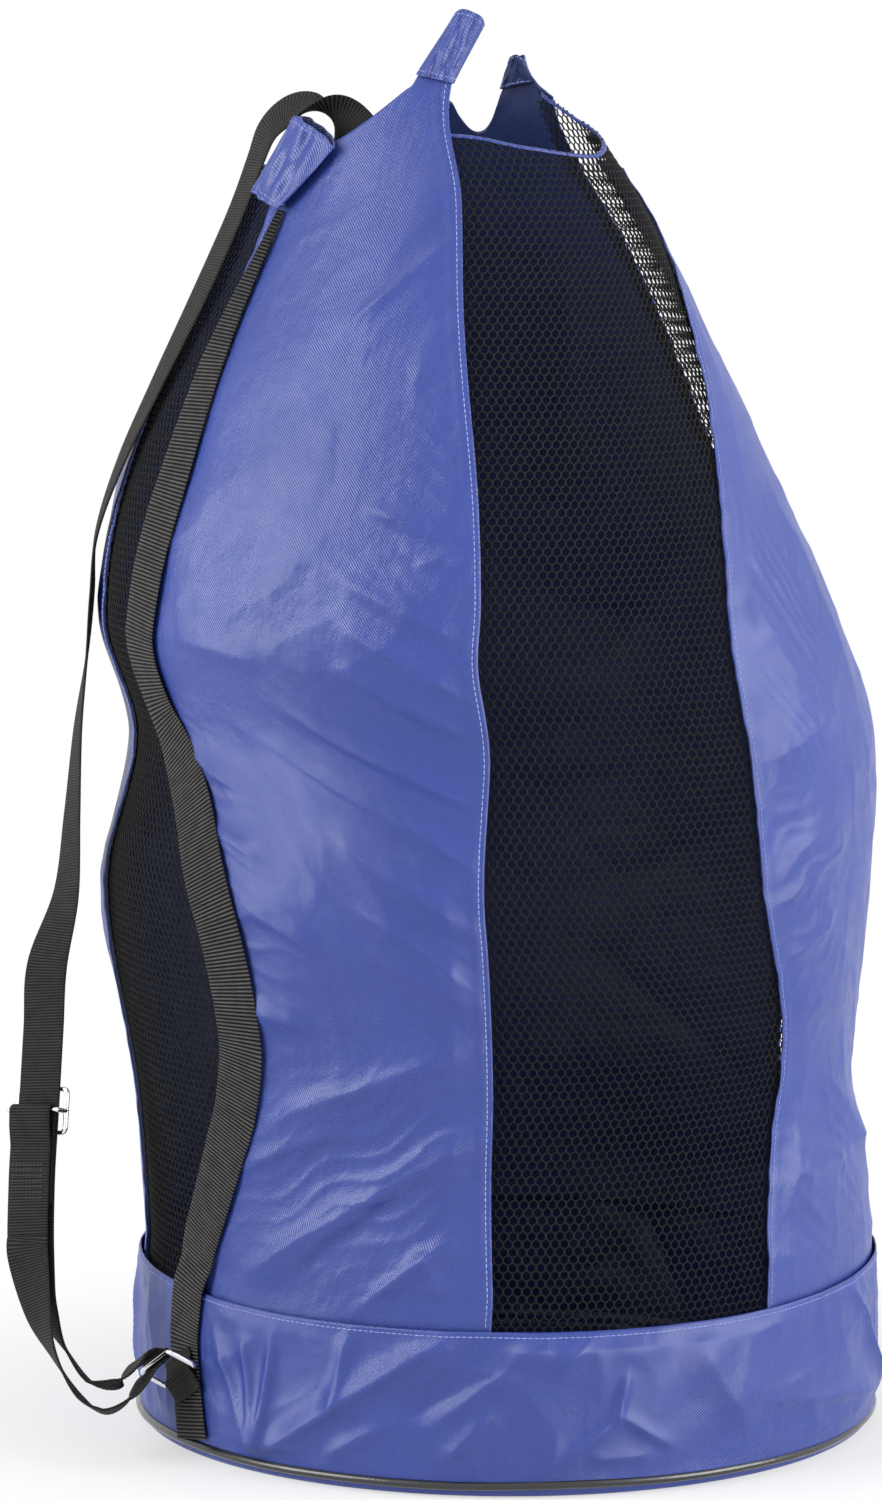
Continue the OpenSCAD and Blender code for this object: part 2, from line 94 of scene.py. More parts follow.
def white_to_camera(tree, lit, target, share=None):
    """Mixes a surface or sky with plain white, by a share, for rays from the camera, mirrors and glass."""
    nodes, links = tree.nodes, tree.links

    def joined(operation, first, second):
        made = nodes.new("ShaderNodeMath")
        made.operation = operation
        links.new(first, made.inputs[0])
        links.new(second, made.inputs[1])
        return made.outputs[0]

    ray = nodes.new("ShaderNodeLightPath").outputs
    amount = joined("MAXIMUM", ray["Is Glossy Ray"], ray["Is Transmission Ray"])
    amount = joined("MAXIMUM", ray["Is Camera Ray"], amount)
    if share is not None:
        amount = joined("MULTIPLY", amount, share)
    white = nodes.new("ShaderNodeBackground" if share is None else "ShaderNodeEmission")
    white.inputs["Color"].default_value = (1.0, 1.0, 1.0, 1.0)
    white.inputs["Strength"].default_value = 1.0
    mix = nodes.new("ShaderNodeMixShader")
    links.new(amount, mix.inputs[0])
    links.new(lit, mix.inputs[1])
    links.new(white.outputs[0], mix.inputs[2])
    links.new(mix.outputs[0], target)


scene.world = bpy.data.worlds.new("studio")
scene.world.use_nodes = True
sky_tree = scene.world.node_tree
sky = sky_tree.nodes["Background"]
sky.inputs["Color"].default_value = (1.0, 1.0, 1.0, 1.0)
sky.inputs["Strength"].default_value = 0.21
white_to_camera(sky_tree, sky.outputs[0], sky_tree.nodes["World Output"].inputs["Surface"])

bpy.ops.mesh.primitive_plane_add(size=12.0, location=(0.0, 0.0, -0.0005))
floor = bpy.context.object
floor.name = "floor"
floor_material = bpy.data.materials.new("floor")
floor_material.use_nodes = True
floor_bsdf = floor_material.node_tree.nodes["Principled BSDF"]
floor_bsdf.inputs["Base Color"].default_value = (0.9, 0.9, 0.9, 1.0)
floor_bsdf.inputs["Roughness"].default_value = 0.9
# Away from the bag the floor goes over to the white of the sky
floor_nodes, floor_links = floor_material.node_tree.nodes, floor_material.node_tree.links
floor_far = floor_nodes.new("ShaderNodeVectorMath")
floor_far.operation = "LENGTH"
floor_place = floor_nodes.new("ShaderNodeNewGeometry").outputs["Position"]
floor_links.new(floor_place, floor_far.inputs[0])
floor_white = floor_nodes.new("ShaderNodeMapRange")
floor_white.interpolation_type = "SMOOTHSTEP"
for key, value in (("From Min", 0.20), ("From Max", 0.48), ("To Min", 0.55), ("To Max", 1.0)):
    floor_white.inputs[key].default_value = value
floor_links.new(floor_far.outputs["Value"], floor_white.inputs["Value"])
white_to_camera(
    floor_material.node_tree,
    floor_bsdf.outputs[0],
    floor_nodes["Material Output"].inputs["Surface"],
    floor_white.outputs["Result"],
)
floor.data.materials.append(floor_material)


# Base.
# A round disc of coated blue nylon with its edge turned up into the foot seam.
# It lies flat on the floor, and its middle is one face.
NYLON_T = 0.0008
BASE_R = 0.2081
BASE_EDGE = 0.003
BASE_TURNED = BASE_R - 0.0010
BASE_EDGE_TALL = 1.15
BASE_LIP_R = BASE_R - 0.0024
BASE_LIP_Z = 0.0095
BASE_FLAT = 0.12
BASE_ROWS = 6


def linear(r, g, b):
    """A screen colour from 0 to 255 as the linear colour that a shader takes."""
    c = np.array([r, g, b]) / 255.0
    return (*np.where(c <= 0.04045, c / 12.92, ((c + 0.055) / 1.055) ** 2.4).tolist(), 1.0)


def material(name, colour, roughness, **sockets):
    """A Principled material with its plain values set, and its tree's parts for what is added."""
    made = bpy.data.materials.new(name)
    made.use_nodes = True
    bsdf = made.node_tree.nodes["Principled BSDF"]
    bsdf.inputs["Base Color"].default_value = colour
    bsdf.inputs["Roughness"].default_value = roughness
    for key, value in sockets.items():
        bsdf.inputs[key.replace("_", " ")].default_value = value
    return made, made.node_tree.nodes, made.node_tree.links, bsdf


def noise(nodes, links, coords, scale, detail=3.0, rough=0.55):
    made = nodes.new("ShaderNodeTexNoise")
    made.inputs["Scale"].default_value = scale
    made.inputs["Detail"].default_value = detail
    made.inputs["Roughness"].default_value = rough
    links.new(coords, made.inputs["Vector"])
    return made.outputs["Fac"]


def remap(nodes, links, value, low, high):
    """A value from 0.25..0.75, where noise mostly lies, to low..high."""
    made = nodes.new("ShaderNodeMapRange")
    made.inputs["From Min"].default_value = 0.25
    made.inputs["From Max"].default_value = 0.75
    made.inputs["To Min"].default_value = low
    made.inputs["To Max"].default_value = high
    links.new(value, made.inputs["Value"])
    return made.outputs["Result"]


def shaded(nodes, links, colour, value):
    """A colour made lighter or darker by a value around 1."""
    made = nodes.new("ShaderNodeMix")
    made.data_type = "RGBA"
    made.blend_type = "MULTIPLY"
    made.inputs["Factor"].default_value = 1.0
    made.inputs["A"].default_value = colour
    links.new(value, made.inputs["B"])
    return made.outputs["Result"]


def wave(nodes, links, coords, scale, direction):
    made = nodes.new("ShaderNodeTexWave")
    made.wave_type = "BANDS"
    made.bands_direction = direction
    made.inputs["Scale"].default_value = scale
    links.new(coords, made.inputs["Vector"])
    return made.outputs["Fac"]


def add(nodes, links, a, b, share):
    """One value plus a share of another."""
    made = nodes.new("ShaderNodeMath")
    made.operation = "MULTIPLY_ADD"
    made.inputs[1].default_value = share
    links.new(b, made.inputs[0])
    links.new(a, made.inputs[2])
    return made.outputs[0]


def bump(nodes, links, bsdf, height, distance):
    made = nodes.new("ShaderNodeBump")
    made.inputs["Distance"].default_value = distance
    links.new(height, made.inputs["Height"])
    links.new(made.outputs["Normal"], bsdf.inputs["Normal"])


woven = bpy.data.node_groups.new("woven_nylon", "ShaderNodeTree")
woven.interface.new_socket("Flat", in_out="INPUT", socket_type="NodeSocketVector")
for socket in ("Shade", "Height", "Rough"):
    woven.interface.new_socket(socket, in_out="OUTPUT", socket_type="NodeSocketFloat")
wn, wl = woven.nodes, woven.links
flat = wn.new("NodeGroupInput").outputs["Flat"]
twill = wave(wn, wl, flat, 420.0, "DIAGONAL")
threads = add(wn, wl, twill, noise(wn, wl, flat, 900.0), 0.8)
patches = remap(wn, wl, noise(wn, wl, flat, 14.0, 4.0), 0.64, 0.82)
patches = add(wn, wl, patches, twill, 0.12)
patches = add(wn, wl, patches, noise(wn, wl, flat, 650.0, 2.0), 0.45)
crushed = noise(wn, wl, flat, 70.0, 5.0, 0.6)
slanted = wn.new("ShaderNodeMapping")
slanted.inputs["Rotation"].default_value = (0.0, 0.0, 0.65)
slanted.inputs["Scale"].default_value = (1.0, 0.22, 1.0)
wl.new(flat, slanted.inputs["Vector"])
slants = noise(wn, wl, slanted.outputs["Vector"], 55.0, 3.0, 0.5)
crumple = add(wn, wl, add(wn, wl, threads, crushed, 7.0), slants, 9.0)
woven_out = wn.new("NodeGroupOutput")
wl.new(patches, woven_out.inputs["Shade"])
wl.new(crumple, woven_out.inputs["Height"])
wl.new(remap(wn, wl, crushed, 0.30, 0.46), woven_out.inputs["Rough"])


def nylon(name, colour, gloss):
    """Coated woven nylon: uneven colour and gloss, fine slanting threads, small creases and pulls."""
    made, nodes, links, bsdf = material(name, colour, 0.4, Specular_IOR_Level=gloss)
    group = nodes.new("ShaderNodeGroup")
    group.node_tree = woven
    links.new(nodes.new("ShaderNodeUVMap").outputs["UV"], group.inputs["Flat"])
    links.new(shaded(nodes, links, colour, group.outputs["Shade"]), bsdf.inputs["Base Color"])
    links.new(group.outputs["Rough"], bsdf.inputs["Roughness"])
    bump(nodes, links, bsdf, group.outputs["Height"], 0.00012)
    return made


blue = nylon("blue_nylon", linear(42, 62, 138), 0.6)
# The inside colour is partly the darker coated back of the cloth and partly painted shade for the dim
# inside of the bag
inside_nylon_with_painted_shade = nylon("blue_nylon_inside_painted_shade", linear(27, 40, 84), 0.3)


def mesh_object(name, verts, faces, materials, uv=None):
    """A smooth object from arrays of points and faces, with a flat map in metres where one is given."""
    mesh = bpy.data.meshes.new(name)
    faces = faces if isinstance(faces, list) else faces.tolist()
    mesh.from_pydata(np.reshape(verts, (-1, 3)).tolist(), [], faces)
    if uv is not None:
        loops = np.empty(len(mesh.loops), dtype=np.int32)
        mesh.loops.foreach_get("vertex_index", loops)
        layer = mesh.uv_layers.new(name="flat")
        layer.data.foreach_set("uv", np.reshape(uv, (-1, 2))[loops].astype(np.float32).ravel())
    mesh.polygons.foreach_set("use_smooth", np.ones(len(mesh.polygons), dtype=bool))
    for made in materials:
        mesh.materials.append(made)
    mesh.update()
    obj = bpy.data.objects.new(name, mesh)
    scene.collection.objects.link(obj)
    return obj


def grid_faces(rows, cols, ring=False):
    """Faces between the rows and columns of a grid of points; a ring closes on itself sideways."""
    j, i = np.meshgrid(np.arange(rows - 1), np.arange(cols if ring else cols - 1), indexing="ij")
    a, b = j * cols + i, j * cols + (i + 1) % cols
    return np.stack([a, b, b + cols, a + cols], -1).reshape(-1, 4)


def shell(name, outer, inner, uv, materials, ring=False, disc=False):
    """A closed sheet between two grids of points: rows upwards, columns to the right as seen from outside.

    A ring closes on itself sideways, and a disc is filled inside its first row.
    """
    rows, cols = outer.shape[:2]
    half = rows * cols
    front = grid_faces(rows, cols, ring)
    back = front[:, [0, 3, 2, 1]] + half
    k = np.arange(cols if ring else cols - 1)
    k1 = (k + 1) % cols
    top = (rows - 1) * cols
    edges = [np.stack([top + k, top + k1, top + k1 + half, top + k + half], -1)]
    if not disc:
        edges.append(np.stack([k, k + half, k1 + half, k1], -1))
    if not ring:
        m = np.arange(rows - 1) * cols
        edges.append(np.stack([m, m + cols, m + cols + half, m + half], -1))
        m = m + cols - 1
        edges.append(np.stack([m, m + half, m + cols + half, m + cols], -1))
    faces = np.concatenate([front, back, *edges]).tolist()
    if disc:
        faces += [list(range(cols))[::-1], list(range(half, half + cols))]
    verts = np.concatenate([outer.reshape(-1, 3), inner.reshape(-1, 3)])
    obj = mesh_object(name, verts, faces, materials, np.concatenate([uv.reshape(-1, 2)] * 2))
    if len(materials) > 1:
        which = np.zeros(len(faces), dtype=np.int32)
        which[len(front):len(front) + len(back)] = 1
        which[-1] = 1 if disc else 0
        obj.data.polygons.foreach_set("material_index", which)
    return obj


def on_bag(obj, node):
    """Puts a piece in the place of one of the frame's nodes, on the bag's own body."""
    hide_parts(node)
    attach(obj, "bag")


base_turn = np.radians(np.arange(-80, 1, 10))
base_r = np.concatenate([
    np.linspace(BASE_FLAT, BASE_TURNED - BASE_EDGE, BASE_ROWS),
    BASE_TURNED - BASE_EDGE + BASE_EDGE * np.cos(base_turn),
    [BASE_LIP_R],
])
base_z = np.concatenate([
    np.zeros(BASE_ROWS), BASE_EDGE * (1 + np.sin(base_turn)) * BASE_EDGE_TALL, [BASE_LIP_Z],
])
base_a = np.radians(np.arange(0, 360, 2.0))
outer = np.stack([
    base_r[:, None] * np.sin(base_a), -base_r[:, None] * np.cos(base_a),
    np.broadcast_to(base_z[:, None], (len(base_r), len(base_a))),
], -1)
inner = outer.copy()
inner[:BASE_ROWS, :, 2] += NYLON_T
inner[BASE_ROWS:, :, :2] *= (BASE_R - NYLON_T) / BASE_R
base = shell("base", outer, inner, outer[..., :2], (blue, inside_nylon_with_painted_shade), ring=True, disc=True)
on_bag(base, "base_panel")


# Piping.
# A bead of black plastic piping, sewn into the seam between the base and the band.
# It stands out a little from the cloth and wavers slightly round the foot.
PIPING_R = 0.0025
PIPING_Z = 0.0064
piping_black, pn, pl, pb = material(
    "black_piping", linear(14, 14, 15), 0.3, Coat_Weight=0.6, Coat_Roughness=0.18
)
piping_coords = pn.new("ShaderNodeTexCoord").outputs["Object"]
pl.new(remap(pn, pl, noise(pn, pl, piping_coords, 90.0, 5.0), 0.22, 0.42), pb.inputs["Roughness"])
bump(pn, pl, pb, noise(pn, pl, piping_coords, 160.0, 4.0), 0.0004)
ring_a = np.radians(np.arange(0, 360, 1.5))
tube_a = np.radians(np.arange(0, 360, 30))
bead_wave = 0.0003 * np.sin(5 * ring_a + 0.6) + 0.0002 * np.sin(11 * ring_a)
bead_r = BASE_R + PIPING_R * np.cos(tube_a)[:, None] + 0 * ring_a
bead_z = PIPING_Z + PIPING_R * np.sin(tube_a)[:, None] + bead_wave
bead = np.stack([bead_r * np.sin(ring_a), -bead_r * np.cos(ring_a), bead_z], -1)
rows, cols = bead.shape[:2]
bead_faces = grid_faces(rows + 1, cols, ring=True) % (rows * cols)
piping = mesh_object("piping", bead, bead_faces, (piping_black,))
on_bag(piping, "base_piping")


# Band.
# One strip of the same nylon, sewn round the foot over the lower ends of the panels.
# It is creased where it was cut and pulled, and a row of stitches holds its upper edge.
BAND_H = 0.090
BAND_OFF = 0.0054
BAND_FOOT = 0.0078
BAND_RISE = 0.006
BAND_R = 0.2075
BAND_HELD = 0.010
WEB_HOLDS = 0.024
# Every sewn piece lies on one wall, round at each height and leaning a little as a full load leaves it.
# Each row: height, radius inside the cloth and lean to the right, in millimetres, as in the CAD source
SECTIONS = np.array([
    (92, 203.5, 1), (110, 202.5, 1), (190, 199.5, -8), (306, 212.5, -12), (390, 205, -3),
    (455, 203, -22), (543, 175, -34), (684, 110, -37), (735, 86, -42), (790, 70, -27),
]) / 1000
# Each row of a seam: height in millimetres, and angle in degrees from the front, positive to the right
SIDE_SEAM = np.array([
    (0, -55.5), (60, -58), (90, -57), (115, -55), (145, -50.5), (175, -46), (200, -42.5), (240, -39.5),
    (300, -41.5), (350, -49), (400, -59), (430, -60), (480, -57), (540, -54), (630, -55), (690, -54),
]) * (0.001, 1)


def curve(rows, place, k):
    """Smooth curve through rows keyed by their first column: column k at each place."""
    x, y = rows[:, 0], rows[:, k]
    slope = np.empty_like(y)
    slope[1:-1] = (y[2:] - y[:-2]) / (x[2:] - x[:-2])
    slope[0] = (y[1] - y[0]) / (x[1] - x[0])
    slope[-1] = (y[-1] - y[-2]) / (x[-1] - x[-2])
    s = np.clip(place, x[0], x[-1])
    i = np.clip(np.searchsorted(x, s, "right") - 1, 0, len(x) - 2)
    h = x[i + 1] - x[i]
    t = (s - x[i]) / h
    return (
        y[i]
        + (y[i + 1] - y[i]) * t * t * (3 - 2 * t)
        + h * t * (1 - t) * (slope[i] * (1 - t) - slope[i + 1] * t)
    )


def unit(v):
    return v / np.linalg.norm(v, axis=-1, keepdims=True)


def wall(a, z, off):
    """A point of the wall at an angle in degrees and a height, off its inside by a distance."""
    r = curve(SECTIONS, z, 1) + off
    t = np.radians(a)
    return np.stack(np.broadcast_arrays(curve(SECTIONS, z, 2) + r * np.sin(t), -r * np.cos(t), z), -1)


def radial(points):
    """Straight out of the bag at each point of its wall."""
    out = points.copy()
    out[..., 0] -= curve(SECTIONS, points[..., 2], 2)
    out[..., 2] = 0
    return unit(out)


def folds(s, z, lines):
    """Soft ridges in cloth, each from one point to another, with a half width and a height, in mm."""
    h = np.zeros(np.broadcast(s, z).shape)
    for s0, z0, s1, z1, width, height in np.array(lines) / 1000:
        ds, dz = s1 - s0, z1 - z0
        length = math.hypot(ds, dz)
        t = ((s - s0) * ds + (z - z0) * dz) / length**2
        n = ((z - z0) * ds - (s - s0) * dz) / length
        fade = np.exp(-(np.abs(t - 0.5) / 0.5) ** 4)
        h += height * fade * np.exp(-(np.abs(n) / width) ** 1.25) * (1 + 0.4 * np.tanh(n / width))
    return h


def ripples(s, z, seed, height, short, long):
    """Uneven waves over a piece of cloth, from a few directions."""
    random = np.random.default_rng(seed)
    h = np.zeros(np.broadcast(s, z).shape)
    for _ in range(7):
        turn, phase = random.uniform(0, np.pi), random.uniform(0, 2 * np.pi)
        size = random.uniform(short, long)
        h += np.sin(2 * np.pi * (s * math.cos(turn) + z * math.sin(turn)) / size + phase) / 7
    return h * height


def creases(s, z, seed, height, short, long):
    """Sharp wandering ridges in patches, as crushed cloth keeps them."""
    random = np.random.default_rng(seed)
    h = np.zeros(np.broadcast(s, z).shape)
    for _ in range(6):
        turn, size = random.uniform(0.25, 1.2) * random.choice([-1, 1]), random.uniform(short, long)
        phase = random.uniform(0, 2 * np.pi, 3)
        p, q = s * math.cos(turn) + z * math.sin(turn), z * math.cos(turn) - s * math.sin(turn)
        sway = 0.30 * size * np.sin(2 * np.pi * q / (2.3 * size) + phase[0])
        patch = np.clip(0.2 + np.sin(2 * np.pi * q / (3.7 * size) + phase[1]), 0, 1)
        h += (1 - np.abs(np.sin(np.pi * (p + sway) / size + phase[2]))) ** 2 * patch
    return height * h / 3


def puckers(d, t, seed, height, reach):
    """Small gathers along a sewn edge: d is the distance from it and t the length along it."""
    random = np.random.default_rng(seed)
    h = np.zeros(np.broadcast(d, t).shape)
    for size in (0.013, 0.019, 0.031, 0.047):
        h += np.sin(2 * np.pi * t / size + random.uniform(0, 2 * np.pi)) * random.uniform(0.6, 1.0)
    return height * h / 3 * np.exp(-np.maximum(d, 0) / reach)


def along(points):
    """Length along a line of points, from its start to each one."""
    return np.concatenate([[0.0], np.cumsum(np.linalg.norm(np.diff(points, axis=0), axis=1))])


def stitches(name, line, out, yarn, pitch=0.0032, radius=0.00034):
    """A row of stitches along a line on cloth, each a short thread with its ends drawn in."""
    length = along(line)
    middle = (np.arange(int(length[-1] / pitch)) + 0.5)[:, None] * pitch
    s = middle + np.array([-0.40, -0.26, 0.26, 0.40]) * pitch
    place = np.stack([np.interp(s, length, line[:, k]) for k in range(3)], -1)
    up = unit(np.stack([np.interp(s, length, out[:, k]) for k in range(3)], -1))
    side = np.cross(unit(place[:, -1:] - place[:, :1]), up)
    swell = np.array([0.35, 1.0, 1.0, 0.35])[None, :, None, None] * radius
    verts = place[:, :, None] + np.stack([side, up, -side, -0.3 * up], 2) * swell
    first = np.arange(len(s))[:, None] * 16
    k, r = np.tile(np.arange(4), 3), np.repeat(np.arange(3), 4) * 4
    a, b = first + r + k, first + r + (k + 1) % 4
    around = np.stack([a, a + 4, b + 4, b], -1).reshape(-1, 4)
    caps = np.stack([first + np.arange(4), first + 15 - np.arange(4)], 1).reshape(-1, 4)
    obj = mesh_object(name, verts, np.concatenate([around, caps]), (yarn,))
    return obj


def uneven(nodes, links, scale, low, high):
    """A value that goes unevenly from low to high over a piece."""
    coords = nodes.new("ShaderNodeTexCoord").outputs["Object"]
    return remap(nodes, links, noise(nodes, links, coords, scale), low, high)


def thread(name, colour):
    """Sewing thread: matt, its colour uneven from stitch to stitch."""
    made, nodes, links, bsdf = material(name, colour, 0.6)
    shade = uneven(nodes, links, 500.0, 0.7, 1.3)
    links.new(shaded(nodes, links, colour, shade), bsdf.inputs["Base Color"])
    return made


blue_thread = thread("blue_thread", linear(146, 158, 214))

band_a = np.arange(-180, 180, 0.5)
band_v = np.linspace(0, 1, 60)[:, None]
band_top = BAND_H + BAND_RISE * np.sin(np.radians(band_a))[None, :] ** 4
band_z = BAND_FOOT + (band_top - BAND_FOOT) * band_v
band_s = np.radians(band_a)[None, :] * BAND_R
# Each fold, in mm: length round from the front and height at its start and end, half width, height
BAND_FOLDS = [
    (-146, 10, -180, 72, 4, 2.6), (-146, 10, -158, 72, 4, 2.2), (-146, 10, -137, 76, 4, 2.4),
    (-97, 40, -89, 86, 5, 2.2), (-144, 12, -32, 88, 8, 3.4), (-36, 18, -10, 48, 6, 2.2),
    (-55, 42, 5, 76, 12, -2.6), (-101, 18, -70, 36, 5, 1.6), (60, 66, 54, 40, 3, 2),
    (56, 44, 86, 24, 3, 1.8), (54, 42, 26, 20, 3, 1.6), (-40, 40, 20, 88, 10, 3),
    (24, 68, 42, 88, 4, 1.8), (100, 80, 134, 28, 22, 4), (231, 88, 305, 18, 4, 2.2),
    (150, 40, 300, 20, 8, 2.6), (42, 20, 70, 21, 3, 1.2), (-205, 88, -198, 20, 4, 1.8),
    (-225, 84, -232, 24, 6, 2.2), (-260, 80, -240, 22, 7, 2), (360, 80, 330, 22, 8, 2),
    (440, 80, 480, 22, 8, 2.2), (570, 80, 540, 22, 8, 2), (-330, 80, -300, 22, 8, 2.2),
    (-430, 80, -460, 22, 8, 2), (-560, 80, -530, 22, 8, 2),
]
# At the front the upper part bulges over the foot
bulge = np.exp(-(((band_s - 0.045) / 0.055) ** 2)) * np.clip((band_z - BAND_FOOT) / 0.068, 0, 1)
band_relief = (
    1.9 * folds(band_s, band_z, BAND_FOLDS)
    + ripples(band_s, band_z, 3, 0.0016, 0.03, 0.09)
    + creases(band_s, band_z, 6, 0.0028, 0.03, 0.07)
    + 0.0055 * bulge
    + puckers(band_top - band_z, band_s, 4, 0.0006, 0.012)
    + puckers(band_z - BAND_FOOT, band_s, 5, 0.0006, 0.010)
)
# The side webbing holds the band flat under it
web_s = np.radians(curve(SIDE_SEAM, band_z, 1)) * BAND_R
under_web = np.exp(-(((band_s - web_s) / WEB_HOLDS) ** 6))
band_relief = band_relief - under_web * np.maximum(band_relief - 0.0004, 0)
# Its foot is held in the base seam, and its upper edge by a row of stitches
from_foot = np.clip((band_z - BAND_FOOT) / BAND_HELD, 0, 1)
from_ends = np.minimum(from_foot, np.clip((band_top - band_z) / BAND_HELD, 0, 1))
band_off = BAND_OFF + band_relief * (0.15 * from_foot + 0.85 * from_ends)
band_out = wall(band_a[None, :], band_z, band_off)
band_in = wall(band_a[None, :], band_z, band_off - NYLON_T)
band_uv = np.stack(np.broadcast_arrays(band_s, band_z), -1)
band = shell("band", band_out, band_in, band_uv, (blue, inside_nylon_with_painted_shade), ring=True)
on_bag(band, "base_band")
band_line = np.concatenate([band_out[-3], band_out[-3, :1]])
stitches("band_stitches", band_line, radial(band_line), blue_thread).parent = band


# Nylon panels.
# Four panels of the blue nylon, narrower towards the mouth, their long edges turned in and topstitched.
# The load pulls them into slanting folds, and the seams gather their edges.
MOUTH_Z = 0.735
PANEL_FOOT = 0.078
NYLON_OFF = 0.0019
TURNED_W = 0.008
STITCH_IN = 0.003
HELD_W = 0.02
FRONT_SEAM = np.array([
    (0, -3), (106, -3), (214, 0), (290, 0), (374, -2.5), (430, -0.5), (480, 3), (540, 5), (632, 4.5),
    (700, 6),
]) * (0.001, 1)
RIGHT_SEAM = np.array([
    (0, 42), (90, 42), (130, 43.5), (180, 47.5), (225, 50), (262, 48), (310, 43.5), (390, 39), (450, 42),
    (510, 49.5), (570, 60), (630, 73), (665, 88), (690, 98),
]) * (0.001, 1)
RIGHT_BACK_SEAM = np.array([(0, 90), (560, 100), (700, 118)]) * (0.001, 1)
BACK_SEAM = np.array([(0, 124), (560, 121), (640, 122), (700, 129)]) * (0.001, 1)
BACK_LEFT_SEAM = np.array([(0, 186), (700, 190)]) * (0.001, 1)
LEFT_SEAM = np.array([(0, 228), (700, 232)]) * (0.001, 1)
LEFT_FRONT_SEAM = np.array([(0, 276), (700, 285)]) * (0.001, 1)
# Each row of a top: angle in degrees, and rise over the mouth's height in millimetres
FRONT_TOP = np.array([
    (-54, -36), (-40, -23), (-32, -18), (-20, -5), (-10, 9), (-8, 12), (-6, 22), (7, 24),
]) * (1, 0.001)
RIGHT_TOP = np.array([(98, -34), (118, -29)]) * (1, 0.001)
BACK_TOP = np.array([
    (128, 5), (136, 12), (141, 18), (150, 18), (153.5, 8), (155, 2), (158, -7), (162, -13), (166, -13),
    (170, -5), (173, 3), (178, 3), (184, -12), (190, -28),
]) * (1, 0.001)
LEFT_TOP = np.array([(232, -33), (285, -30)]) * (1, 0.001)


def pulls(s, z, places):
    """Fine parallel ridges where a seam pulls the cloth: middle, half sizes, slope, pitch and height."""
    h = np.zeros(np.broadcast(s, z).shape)
    for s0, z0, ds, dz, slope, pitch, height in places:
        fade = np.exp(-(((s - s0) / ds) ** 2) - ((z - z0) / dz) ** 2)
        sway = 0.35 * pitch * np.sin(2 * np.pi * (s + 0.7 * z) / (4.3 * pitch))
        h += height * fade * (1 - np.abs(np.sin(np.pi * (z - z0 - slope * (s - s0) + sway) / pitch))) ** 1.5
    return h


def panel_grid(left, right, top, cols, rows):
    """Angles and heights of a panel's grid, and distances from its left and right edges."""
    u = np.linspace(0, 1, cols)[None, :]
    v = np.linspace(0, 1, rows)[:, None]
    mouth = np.array([MOUTH_Z])
    top_a = curve(left, mouth, 1) * (1 - u) + curve(right, mouth, 1) * u
    z = PANEL_FOOT + (MOUTH_Z + curve(top, top_a, 1) - PANEL_FOOT) * v
    a_left, a_right = curve(left, z, 1), curve(right, z, 1)
    a = a_left + (a_right - a_left) * u
    r = curve(SECTIONS, z, 1)
    return a, z, np.radians(a - a_left) * r, np.radians(a_right - a) * r


def nylon_panel(name, node, left, right, top, seed, lines=(), pulled=(), cols=110, rows=330):
    """A panel between two seams, with its folds and a row of stitches along each long edge."""
    a, z, d_left, d_right = panel_grid(left, right, top, cols, rows)
    edges = (d_left, d_right)
    turned = 0.0005 * sum(np.exp(-((d / TURNED_W) ** 6)) for d in edges)
    stitched = -0.0004 * sum(np.exp(-(((d - STITCH_IN) / 0.0012) ** 2)) for d in edges)
    above_band = np.clip((z - BAND_H) / HELD_W, 0, 1)
    free = np.clip(np.minimum(d_left, d_right) / HELD_W, 0, 1) * above_band
    relief = (
        turned + stitched
        + (1.4 * folds(d_left, z, lines) + ripples(d_left, z, seed, 0.0016, 0.04, 0.15)) * free
        + (creases(d_left, z, seed + 3, 0.0018, 0.035, 0.09) + pulls(d_left, z, pulled)) * free
        + puckers(d_left, z, seed + 1, 0.0007, 0.010) * above_band
        + puckers(d_right, z, seed + 2, 0.0005, 0.008) * above_band
    )
    off = NYLON_OFF + NYLON_T + np.maximum(relief, -0.0006)
    outer = wall(a, z, off)
    uv = np.stack([d_left, z], -1)
    obj = shell(name, outer, wall(a, z, off - NYLON_T), uv, (blue, inside_nylon_with_painted_shade))
    on_bag(obj, node)
    seen = np.flatnonzero(z[:, 0] > BAND_H)
    for edge, d, points in (("left", d_left, outer), ("right", d_right[:, ::-1], outer[:, ::-1])):
        line = np.array([
            [np.interp(STITCH_IN, d[row], points[row, :, k]) for k in range(3)] for row in seen
        ])
        stitches(name + "_" + edge + "_stitches", line, radial(line), blue_thread).parent = obj


# Each fold, in mm: distance from the left edge and height at its start and end, half width, height
FRONT_FOLDS = [
    (118, 665, 86, 622, 4, 1.8), (24, 620, 36, 480, 24, 2.2), (106, 600, 116, 505, 20, -2.2),
    (126, 528, 168, 510, 4, 1.8), (168, 496, 190, 502, 4, 1.6), (130, 488, 206, 455, 6, 2.8),
    (132, 467, 204, 427, 6, 2.8), (140, 442, 192, 410, 6, 2.6), (38, 452, 92, 442, 9, 2.4),
    (100, 418, 184, 364, 7, 2.8), (86, 394, 178, 326, 7, 3), (84, 356, 166, 290, 8, 2.8),
    (96, 313, 142, 268, 7, 3), (90, 291, 138, 263, 6, 2.4), (20, 315, 58, 293, 8, 2.6),
    (4, 257, 42, 249, 7, 2.8), (128, 243, 30, 198, 12, 4.2), (142, 196, 46, 112, 14, 4.6),
    (150, 138, 114, 94, 6, 3), (137, 133, 159, 106, 5, 2), (8, 392, 40, 372, 7, 2.4),
    (8, 352, 44, 338, 7, 2.4), (14, 165, 70, 196, 9, 2.6), (120, 170, 80, 118, 10, -3),
]
